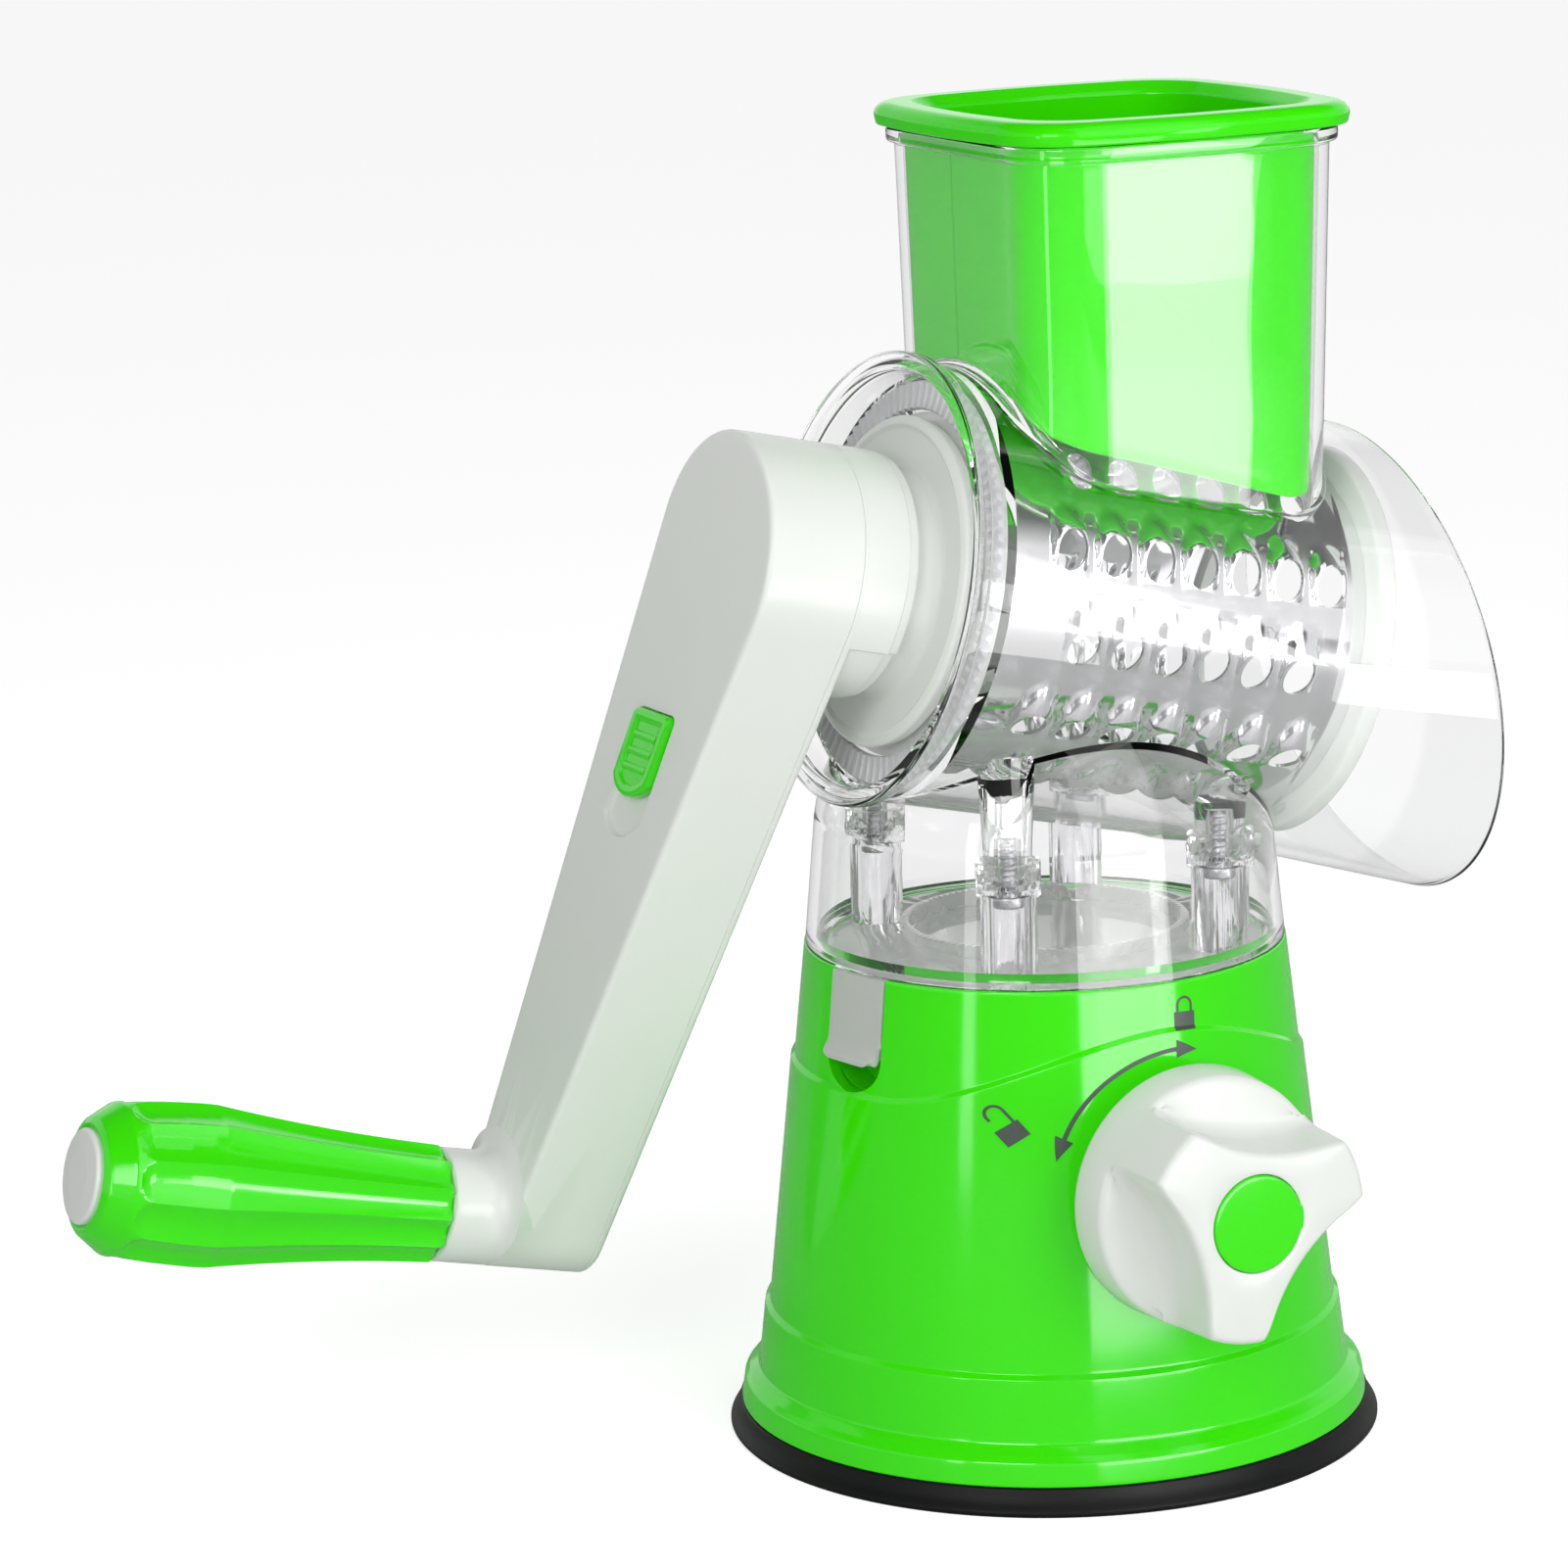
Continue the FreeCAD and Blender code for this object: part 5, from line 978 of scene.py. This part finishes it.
def grating_drum():
    """Sheet on a cylinder about the drum axis. Each tooth is a patch of rows that run from the
    edge of an oval hole to the edges of its share of the sheet; plain sheet fills the ends. A
    second, smaller sheet inside and a rim round each hole give the metal its thickness."""
    tall = bpy.context.scene.shredder_sizes.tooth_height / MM
    piece = Piece("grating_drum", DRUM)
    step = TOOTH_PITCH / 8
    side = np.linspace(-10.6, ROW_WIDTH - 10.6, 15)
    flat = np.linspace(-4, 4, 9) * step
    edge_s = np.concatenate((np.full(8, side[0]), side[:-1], np.full(8, side[-1]), side[:0:-1]))
    edge_t = np.concatenate((flat[:-1], np.full(14, flat[-1]), flat[:0:-1], np.full(14, flat[0])))
    bearing = np.arctan2(edge_s / 1.25, edge_t)
    hole_t, hole_s = HOLE_WIDE * np.cos(bearing), HOLE_TALL * np.sin(bearing)
    share = np.array((0, 0.06, 0.14, 0.24, 0.36, 0.5, 0.66, 0.83, 1.0))[:, None]
    s = hole_s + (edge_s - hole_s) * share
    t = hole_t + (edge_t - hole_t) * share
    rise = tooth_rise(s, t, tall)
    rise[:1] = tall * (HOLE_TALL - s[:1]) / (2 * HOLE_TALL)
    walls = np.array((0.0, SHEET))[:, None]

    def sheet(s, t, rise, middle, tooth):
        angle = -math.pi / 2 - math.radians(middle) + s / DRUM_RADIUS
        for inset in walls[:, 0]:
            piece.polar(DRUM_RADIUS + rise - inset, angle, t, around=tooth)
        if tooth:
            piece.polar(DRUM_RADIUS + rise[:1] - walls, angle[:1], t[:1])

    low, high = -TOOTH_FIRST - 4 * step, -TOOTH_FIRST + TOOTH_PITCH * (TEETH - 1) + 4 * step
    for row in range(TOOTH_ROWS):
        short = row % 2
        middle = TOOTH_PHASE + row * 360 / TOOTH_ROWS
        for index in range(TEETH - short):
            sheet(s, t + TOOTH_PITCH * (short / 2 + index) - TOOTH_FIRST, rise, middle, True)
        lows = np.concatenate((np.linspace(DRUM_FROM, low, 5),
                               low + step * np.arange(1, 5) * short))
        highs = np.concatenate((high - step * np.arange(4, 0, -1) * short,
                                np.linspace(high, DRUM_TO, 4)))
        for places in (np.unique(lows.round(6)), np.unique(highs.round(6))):
            sheet(side[:, None], places[None], np.zeros((len(side), len(places))), middle, False)
    angle = (math.radians(-90 - TOOTH_PHASE) + side[:, None] / DRUM_RADIUS
             + np.arange(TOOTH_ROWS)[None] * 2 * math.pi / TOOTH_ROWS)
    angle = np.sort((angle[:-1] % (2 * math.pi)).ravel())[None]
    for along in (DRUM_FROM, DRUM_TO):
        piece.polar(DRUM_RADIUS - walls, angle, along)
    made = piece.made(40)
    return dressed(made, "rotor", "polished_steel", "drum_steel", "grater_drum")


def drive_cap():
    """The drum's drive cap, from the frame."""
    return smoothed("drum_drive_cap", "rotor", "white_gloss", "white_plastic", 0.3)


def outlet_ring():
    """A closed profile with rounded edges, turned about the drum axis."""
    profile = rounded(((31.2, 54.1), (38.6, 54.0, 0.8), (39.0, 57.9, 0.9), (31.4, 58.0, 0.8)), 4,
                      closed=True)
    made = Piece("outlet_ring", DRUM).turned(profile, closed=True).made()
    return dressed(made, "rotor", "white_gloss", "white_plastic", "drum_outlet_ring")


def turning_disc():
    """A dished disc with a rounded rim and a boss, turned about the drum axis."""
    profile = rounded(((7.0, -31.4), (31.6, -31.4, 0.6), (32.4, -34.6, 0.8), (30.4, -35.1, 0.5),
                       (29.6, -34.5, 0.4), (22.2, -34.1, 1.2), (20.8, -39.4, 0.4), (7.0, -39.4)),
                      4, closed=True)
    made = Piece("turning_disc", DRUM).turned(profile, 180, closed=True).made()
    return dressed(made, "rotor", "white_gloss", "white_plastic", "bearing_disc")


# ---- crank and grip ----------------------------------------------------------------------------

HEAD_RADIUS, FOOT_RADIUS, NECK_RADIUS = 24.5, 11.5, 11.4


def arm_sheet(name, rows):
    """Two circles joined by their common tangents, for rows of (scale, growth, height). Each point
    is a centre plus the circle's radius along its direction; the growth is added to the radii, and
    the scale shrinks them towards the line of centres."""
    scale, grow, height = np.array(rows, float).T[..., None]
    lean = math.acos((HEAD_RADIUS - FOOT_RADIUS) / ARM_LENGTH)
    first = np.linspace(lean, 2 * math.pi - lean, 37)
    second = np.linspace(-lean, lean, 19)
    runs = np.array((0.01, 0.25, 0.5, 0.75, 0.99))
    angle = np.concatenate((first, np.full(5, first[-1]), second, np.full(5, second[-1])))
    along = np.concatenate((np.zeros(len(first)), runs, np.ones(len(second)), 1 - runs))[None]
    radius = (HEAD_RADIUS + (FOOT_RADIUS - HEAD_RADIUS) * along + grow) * scale
    return Piece(name, CRANK).polar(radius, angle, height, x=ARM_LENGTH * along)


BUTTON_LEAN = 0.36


def button_outline(grow, length=18.6, corner=1.6):
    """Points (x, y) of the button: straight sides, round upper corners and a round lower end,
    leaning across the arm."""
    half, length, start, end = 7.4 + grow, length + 2 * grow, 34.0 - grow, 9.0 + grow
    reach = math.asin(half / end)
    low = start + length - end + math.sqrt(end ** 2 - half ** 2)
    tip = [(start + length - end + end * math.cos(turn), end * math.sin(turn))
           for turn in np.linspace(-reach, reach, 16)]
    bend = [(start + corner * fall, half - corner * rise_rest) for fall, rise_rest in (
        (1 - math.sin(turn), 1 - math.cos(turn)) for turn in np.linspace(0, math.pi / 2, 6))]
    side = ((low + start) / 2, half)
    shape = tip + [side] + bend + [(x, -y) for x, y in reversed(bend)] + [(side[0], -side[1])]
    return np.array([(x + BUTTON_LEAN * y, y) for x, y in shape])


def scaled_rows(piece, middle, rows):
    """A sheet of outlines for rows of (scale about the middle, outline, height)."""
    places = np.array([middle + (outline - middle) * scale for scale, outline, height in rows])
    height = np.array([[height] for scale, outline, height in rows])
    return piece.grid(places[..., 0], places[..., 1], height)


def crank_arm():
    """The arm's outline carried round its front edge in a small arc and drawn together over the
    face, a neck turned about the grip's axis with a hollow fillet towards the arm's head, and the
    button's recess cut into the face, with a flat floor that rounds up to its walls."""
    rows = [(0.0, 0, -51.95), (1.0, -0.3, -51.95), (1.0, 0, -52.1), (1.0, 0, -60.0),
            (1.0, 0, -70.4)]
    rows += [(1.0, -1.1 * fall, -70.9 - 1.1 * rise) for rise, fall in quarter(6)]
    rows += [(0.93, -1.1, -72.0), (0.5, -1.1, -72.0), (0.0, 0, -72.0)]
    made = arm_sheet("crank_arm", rows).made()
    angle = circle(120)
    towards = smooth(0.5 - 0.75 * np.cos(angle))
    height = np.array((-66.0, *np.linspace(-72.0, -77.0, 9), -80.0, -83.2, -83.7, -84.0, -84.0))
    fillet = 5.0 * (1 - np.sqrt(np.clip(1 - ((height + 77.0) / 5.0) ** 2, 0, 1))) * (height > -77)
    fillet[0] = 0
    radius = np.array([NECK_RADIUS] * 12 + [11.2, 10.7, 0.0])
    radius = radius[:, None] + fillet[:, None] * towards
    neck = Piece("neck", GRIP).polar(radius, angle, height[:, None])
    neck.turned(((NECK_RADIUS, -66.0), (0, -66.0)), 120)
    joined(made, neck.made(), "UNION")
    outline = button_outline(0.45, 27.0, 1.9)
    recess = scaled_rows(Piece("recess_tool", CRANK), np.array((46.0, 0.0)), [
        (scale, outline, height) for scale, height in (
            (0.0, -70.5), (0.86, -70.5), (0.93, -70.62), (0.97, -70.9), (0.985, -71.3),
            (1.0, -72.1), (1.0, -74.0), (0.0, -74.0))])
    joined(made, recess.made(), "DIFFERENCE")
    softened(made, 0.3, 45)
    return dressed(made, "rotor", "white_gloss", "white_plastic", "crank_arm")


NOTCH, NOTCH_REACH = 0.9, math.radians(79.5)


def crank_back():
    """The arm's back plate with a rounded outer edge, and the hub: a turned sleeve with a shallow
    step near its end, a little narrower over the part that faces down the arm."""
    rows = [(0.0, 0, -52.0), (1.0, -0.25, -52.0), (1.0, 0, -51.85)]
    rows += [(1.0, -1.4 * fall, -51.4 + 1.4 * rise) for rise, fall in quarter(6)]
    rows += [(0.9, -1.4, -50.0), (0.0, 0, -50.0)]
    made = arm_sheet("crank_back", rows).made()
    profile = rounded(((0, -51.2), (24.5, -51.2), (24.55, -42.4, 0.2), (24.2, -42.1, 0.15),
                       (24.2, -40.2, 0.7), (21.2, -39.55, 0.3), (0, -39.55)), 4)
    angle = circle(360, -math.pi)
    radius = profile[:, :1]
    radius = radius - NOTCH * smooth((NOTCH_REACH - np.abs(angle)) / 0.018) * (radius > 20)
    hub = Piece("hub", CRANK).polar(radius, angle, profile[:, 1:]).made()
    joined(made, hub, "UNION", 30)
    return dressed(made, "rotor", "white_gloss", "white_plastic", "crank_cover")


def slide_button():
    """The button's outline with a raised border round a sunk middle, three ribs across it and the
    neck that goes through the arm."""
    rows = [(scale, button_outline(grow, corner=max(1.6 + grow, 0.2)), height)
            for scale, grow, height in (
                (0.0, 0.0, -70.9), (1.0, 0.0, -70.9), (1.0, 0.0, -72.9), (1.0, -0.35, -73.25),
                (1.0, -0.6, -73.3), (1.0, -2.0, -73.3), (1.0, -2.3, -73.2), (1.0, -2.6, -72.75),
                (0.0, -2.6, -72.75))]
    piece = scaled_rows(Piece("slide_button", CRANK), np.array((43.5, 0.0)), rows)
    bend = np.linspace(0, math.pi, 9)[:, None]
    across = np.array((-4.7, -4.6, 0.0, 4.6, 4.7))[None]
    fade = np.array((0.0, 1.0, 1.0, 1.0, 0.0))[None]
    for place in (39.4, 42.9, 46.4):
        along = place + 0.95 * np.cos(bend) + BUTTON_LEAN * across
        piece.grid(along, across, -72.6 - 0.62 * np.sin(bend) * fade, around=False)
    neck = np.array(((39.9, -2.9), (47.9, -2.9), (47.9, 2.9), (39.9, 2.9)))
    scaled_rows(piece, np.array((43.9, 0.0)), [
        (0.0, neck, -71.5), (1.0, neck, -71.5), (1.0, neck, -67.0), (0.0, neck, -67.0)])
    made = piece.made(45)
    return dressed(made, "bolt", "green_gloss", "green_shell", "slide_button")


FLUTES, FLUTE_TURN, FLUTES_FROM, FLUTES_TO = 12, math.radians(13.7), 4.0, 64.4


def flute_depth(turn, along, deep):
    """Depth of the flutes: across each of them 1 less the square of the place between its ridges,
    and towards each end less the square of the way past the flute's end, so that the ends are
    round."""
    place = ((turn - FLUTE_TURN) * FLUTES / (2 * math.pi)) % 1 * 2 - 1
    past = np.maximum(along - FLUTES_TO, 0) / 3.0
    short = np.maximum(FLUTES_FROM - along, 0) / 30.0
    return deep * np.clip(1 - place ** 2 - past ** 2 - short ** 2, 0, 1)


def handle_grip():
    """Rings about the grip's axis. Their radius follows a long curve that swells to 16.4, less the
    flutes' depth."""
    deep = bpy.context.scene.shredder_sizes.flute_depth / MM
    side = dense(rounded((
        (4.2, 0.0), (11.1, 0.0), (12.0, 0.9, 0.4), *arc((12.1, 2.0), (16.4, 49.0), -430.0, 22),
        (16.45, 52.0), (16.3, 57.0, 6.0), (15.8, 63.0, 3.0), (15.0, 68.4, 1.6), (11.9, 72.8, 1.6),
        (10.3, 73.7, 0.3), (9.9, 73.2), (8.2, 73.2), (8.2, 68.0), (4.2, 68.0)), 4), 0.8)
    turn = circle(FLUTES * 26, FLUTE_TURN)
    radius, along = side[:, :1], side[:, 1:]
    outside = smooth((radius - 10.2) / 1.2)
    radius = radius - flute_depth(turn, along, deep) * outside
    made = Piece("handle_grip", GRIP).polar(radius, turn, -84.3 - along, closed=True).made(20)
    return dressed(made, "grip", "green_gloss", "green_shell", "handle_grip")


def grip_disc():
    """A turned, faintly crowned disc in the grip's end."""
    profile = rounded(((0, -157.0), (9.35, -157.0), (9.45, -158.9, 0.7), (5.0, -159.2),
                       (0, -159.25)), 4)
    made = Piece("grip_disc", GRIP).turned(profile, 96).made()
    return dressed(made, "grip", "white_gloss", "white_plastic", "grip_cap")


INNER_FINISHES = {
    "frame_matt": ("lift_frame", "lift_yoke", "stem_foot", "cam_shaft"),
    "zinc": ("frame_screws", "latch_pin", "lift_spring", "latch_spring", "knob_screw", "arm_screws",
             "latch_bolt", "handle_spindle", "spindle_washer", "spindle_screw"),
}


def inner_parts():
    """Finishes for the frame's own pieces that stay, and a mesh of its own for the spring."""
    for finish, nodes in INNER_FINISHES.items():
        for node in nodes:
            painted(frame["nodes"][node], finish)
    spring = frame["nodes"]["lift_spring"]
    heights = [(spring.matrix_world @ vertex.co).z for vertex in spring.data.vertices]
    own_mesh(spring)


# ---- stage -------------------------------------------------------------------------------------

CAMERA_PLACE = (-0.5154, -0.9584, 0.3668)
CAMERA_ANGLES = -25.6, 12.26, -1.65
CAMERA_SENSOR = 36
CAMERA_LENS = CAMERA_SENSOR * 5772.05 / 1601


def camera():
    """A camera that looks along its yaw and pitch, rolled about that line."""
    yaw, pitch, roll = (math.radians(angle) for angle in CAMERA_ANGLES)
    ahead = np.array((-math.sin(yaw) * math.cos(pitch), math.cos(yaw) * math.cos(pitch),
                      -math.sin(pitch)))
    right = np.array((math.cos(yaw), math.sin(yaw), 0))
    up = np.cross(right, ahead)
    right, up = (math.cos(roll) * right + math.sin(roll) * up,
                 math.cos(roll) * up - math.sin(roll) * right)
    data = bpy.data.cameras.new("studio_camera")
    data.lens, data.sensor_width, data.clip_end = CAMERA_LENS, CAMERA_SENSOR, 20
    made = linked("studio_camera", data)
    turn = Matrix(np.column_stack((right, up, -ahead)).tolist()).to_4x4()
    made.matrix_world = Matrix.Translation(CAMERA_PLACE) @ turn
    bpy.context.scene.camera = made


# Name, place, point that it faces, width and height, power, and whether only mirrors see it.
LAMPS = (
    ("key", (225, -974, 550), (0, 0, 180), (800, 1100), 4.5, False),
    ("top", (180, -480, 1100), (20, 0, 160), (700, 600), 1.5, False),
    ("strip", (340, -633, 110), (17, -30, 210), (92, 230), 0.42, False),
    ("fill", (-740, -700, 500), (0, 0, 130), (400, 500), 3.6, False),
    ("soft", (26, -329, 62), (0, 0, 62), (221, 120), 0.53, True),
    ("edge", (-802, -409, 220), (0, 0, 220), (90, 460), 0.55, True),
)


def lamp(name, place, towards, size, power, mirrored_only):
    """A rectangular lamp at a place, in millimetres, that faces a point."""
    data = bpy.data.lights.new(name, "AREA")
    data.shape, data.energy = "RECTANGLE", power
    data.size, data.size_y = size[0] * MM, size[1] * MM
    made = linked(name, data)
    ahead = Vector(towards) - Vector(place)
    turn = ahead.to_track_quat("-Z", "Y").to_matrix().to_4x4()
    made.matrix_world = Matrix.Translation(Vector(place) * MM) @ turn
    made.visible_camera = False
    made.visible_diffuse = made.visible_transmission = not mirrored_only


def ray_kinds(shader):
    """1 for light that has left a matt surface, and 1 for light that has left a mirroring one. A
    ray from the camera is neither, also behind clear plastic or turned back inside it, where it
    has passed one wall's two faces, and sees white."""
    passed = shader.node("LightPath", out="Transmission Depth")
    inside = passed.math("GREATER_THAN", 0.5) * passed.math("LESS_THAN", 3.5)
    scattered = shader.node("LightPath", out="Diffuse Depth").math("MINIMUM", 1.0)
    mirrored = shader.node("LightPath", out="Glossy Depth").math("MINIMUM", 1 - inside)
    return scattered, mirrored


FLOOR_REACH = 6
MATT, DIM, GLOW = 0.8, 0.62, 0.62
ROOM_LIGHT = 0.33
DOME = ((0.0, 0.95), (0.45, 0.95), (0.62, 0.09), (1.0, 0.06))


def floor():
    """Matt white that holds the shadow. Where the camera looks it adds light of its own, so that
    it ends as pure white away from the object."""
    mesh = bpy.data.meshes.new("floor")
    corners = [(x * FLOOR_REACH, y * FLOOR_REACH, 0)
               for x, y in ((-1, -1), (1, -1), (1, 1), (-1, 1))]
    mesh.from_pydata(corners, [], [(0, 1, 2, 3)])
    made = linked("floor", mesh)
    finish = bpy.data.materials.new("floor_white")
    shader = Shader(finish)
    scattered, mirrored = ray_kinds(shader)
    matt, dim = shader.grey("BsdfDiffuse", MATT), shader.grey("BsdfDiffuse", DIM)
    bright = shader.node("AddShader", {0: matt, 1: shader.grey("Emission", 1, Strength=GLOW)})
    seen = shader.between(mirrored, bright, dim)
    shader.ends(shader.between(scattered, seen, matt))
    mesh.materials.append(finish)


def sky():
    """A world that lights matt surfaces evenly, is white to the camera and darkens upwards in
    mirrors."""
    world = bpy.data.worlds.new("studio_world")
    bpy.context.scene.world = world
    shader = Shader(world)
    scattered, mirrored = ray_kinds(shader)
    plain = shader.grey("Background", 1, Strength=ROOM_LIGHT)
    white = shader.grey("Background", 1, Strength=1.0)
    height = shader.node("SeparateXYZ", {0: shader.node("TexCoord", out="Generated")}, "Z")
    dome = shader.node("Background", {"Color": shader.ramp(height, DOME), "Strength": 1.0})
    seen = shader.between(mirrored, white, dome)
    shader.ends(shader.between(scattered, seen, plain), "OutputWorld")


def studio():
    """A floor, a plain world and the lamps, with enough bounces for light to get through the clear
    walls, and the camera."""
    bpy.context.scene.view_settings.view_transform = "Standard"
    cycles = bpy.context.scene.cycles
    cycles.max_bounces = cycles.transmission_bounces = cycles.transparent_max_bounces = 32
    cycles.glossy_bounces = 12
    floor()
    sky()
    for settings in LAMPS:
        lamp(*settings)
    camera()


# ---- panel and operators -----------------------------------------------------------------------

class ShredderColours(bpy.types.PropertyGroup):
    green: bpy.props.FloatVectorProperty(
        name="Green", description="Colour of the base, pusher, button and grip",
        subtype="COLOR", default=(0.045, 0.80, 0.0005), min=0, max=1)
    white: bpy.props.FloatVectorProperty(
        name="White", description="Colour of the crank, the lock knob and the latch",
        subtype="COLOR", default=(0.79, 0.82, 0.78), min=0, max=1)


class ShredderSizes(bpy.types.PropertyGroup):
    tooth_height: bpy.props.FloatProperty(
        name="Tooth height", description="Height of each grating tooth over the drum's sheet",
        subtype="DISTANCE", unit="LENGTH", default=0.0026, min=0.0005, max=0.0028)
    flute_depth: bpy.props.FloatProperty(
        name="Flute depth", description="Depth of the flutes along the grip",
        subtype="DISTANCE", unit="LENGTH", default=0.0013, min=0, max=0.002)


class Maker:
    """Runs the functions that make an operator's pieces."""
    bl_options = {"REGISTER", "UNDO"}

    def execute(self, context):
        for make in self.pieces:
            make()
        return {"FINISHED"}


class SHREDDER_OT_base(Maker, bpy.types.Operator):
    """Make the suction foot, the cover, its marks and the latch"""
    bl_idname = "shredder.base"
    bl_label = "Base"
    pieces = suction_foot, base_cover, lock_marks, latch_tab


class SHREDDER_OT_knob(Maker, bpy.types.Operator):
    """Make the lock knob and the disc in its face"""
    bl_idname = "shredder.knob"
    bl_label = "Lock knob"
    pieces = knob_wheel, knob_disc


class SHREDDER_OT_housing(Maker, bpy.types.Operator):
    """Make the clear housing, its floor plate, its screws and the ribs round the disc"""
    bl_idname = "shredder.housing"
    bl_label = "Housing"
    pieces = clear_housing, floor_plate, floor_film, housing_screws, bearing_ribs


class SHREDDER_OT_pusher(Maker, bpy.types.Operator):
    """Make the hollow pusher"""
    bl_idname = "shredder.pusher"
    bl_label = "Food pusher"
    pieces = pusher_cup,


class SHREDDER_OT_drum(Maker, bpy.types.Operator):
    """Make the toothed drum, its drive cap, the outlet ring and the turning disc"""
    bl_idname = "shredder.drum"
    bl_label = "Drum"
    pieces = grating_drum, drive_cap, outlet_ring, turning_disc


class SHREDDER_OT_crank(Maker, bpy.types.Operator):
    """Make the crank's arm, its back with the hub, and the button"""
    bl_idname = "shredder.crank"
    bl_label = "Crank"
    pieces = crank_arm, crank_back, slide_button


class SHREDDER_OT_grip(Maker, bpy.types.Operator):
    """Make the fluted grip and the disc in its end"""
    bl_idname = "shredder.grip"
    bl_label = "Grip"
    pieces = handle_grip, grip_disc


class SHREDDER_OT_inner(Maker, bpy.types.Operator):
    """Give the parts inside the base and the metal pieces their finishes"""
    bl_idname = "shredder.inner"
    bl_label = "Inner parts"
    pieces = inner_parts,


class SHREDDER_OT_studio(Maker, bpy.types.Operator):
    """Make the floor, the world, the lamps and the camera"""
    bl_idname = "shredder.studio"
    bl_label = "Studio"
    pieces = studio,


OPERATORS = (SHREDDER_OT_base, SHREDDER_OT_knob, SHREDDER_OT_housing, SHREDDER_OT_pusher,
             SHREDDER_OT_drum, SHREDDER_OT_crank, SHREDDER_OT_grip, SHREDDER_OT_inner,
             SHREDDER_OT_studio)


class SHREDDER_PT_panel(bpy.types.Panel):
    bl_label = "Drum Shredder"
    bl_idname = "SHREDDER_PT_panel"
    bl_space_type = "VIEW_3D"
    bl_region_type = "UI"
    bl_category = "Shredder"

    def draw(self, context):
        for group, names in ((context.scene.shredder_colours, ("green", "white")),
                             (context.scene.shredder_sizes, ("tooth_height", "flute_depth"))):
            for name in names:
                self.layout.prop(group, name)
        for operator in OPERATORS:
            self.layout.operator(operator.bl_idname)


CLASSES = (ShredderColours, ShredderSizes, *OPERATORS, SHREDDER_PT_panel)


def register():
    for item in CLASSES:
        bpy.utils.register_class(item)
    bpy.types.Scene.shredder_colours = bpy.props.PointerProperty(type=ShredderColours)
    bpy.types.Scene.shredder_sizes = bpy.props.PointerProperty(type=ShredderSizes)


def unregister():
    del bpy.types.Scene.shredder_sizes
    del bpy.types.Scene.shredder_colours
    for item in reversed(CLASSES):
        bpy.utils.unregister_class(item)


def main():
    register()
    for operator in OPERATORS:
        group, name = operator.bl_idname.split(".")
        getattr(getattr(bpy.ops, group), name)()


if __name__ == "__main__":
    main()
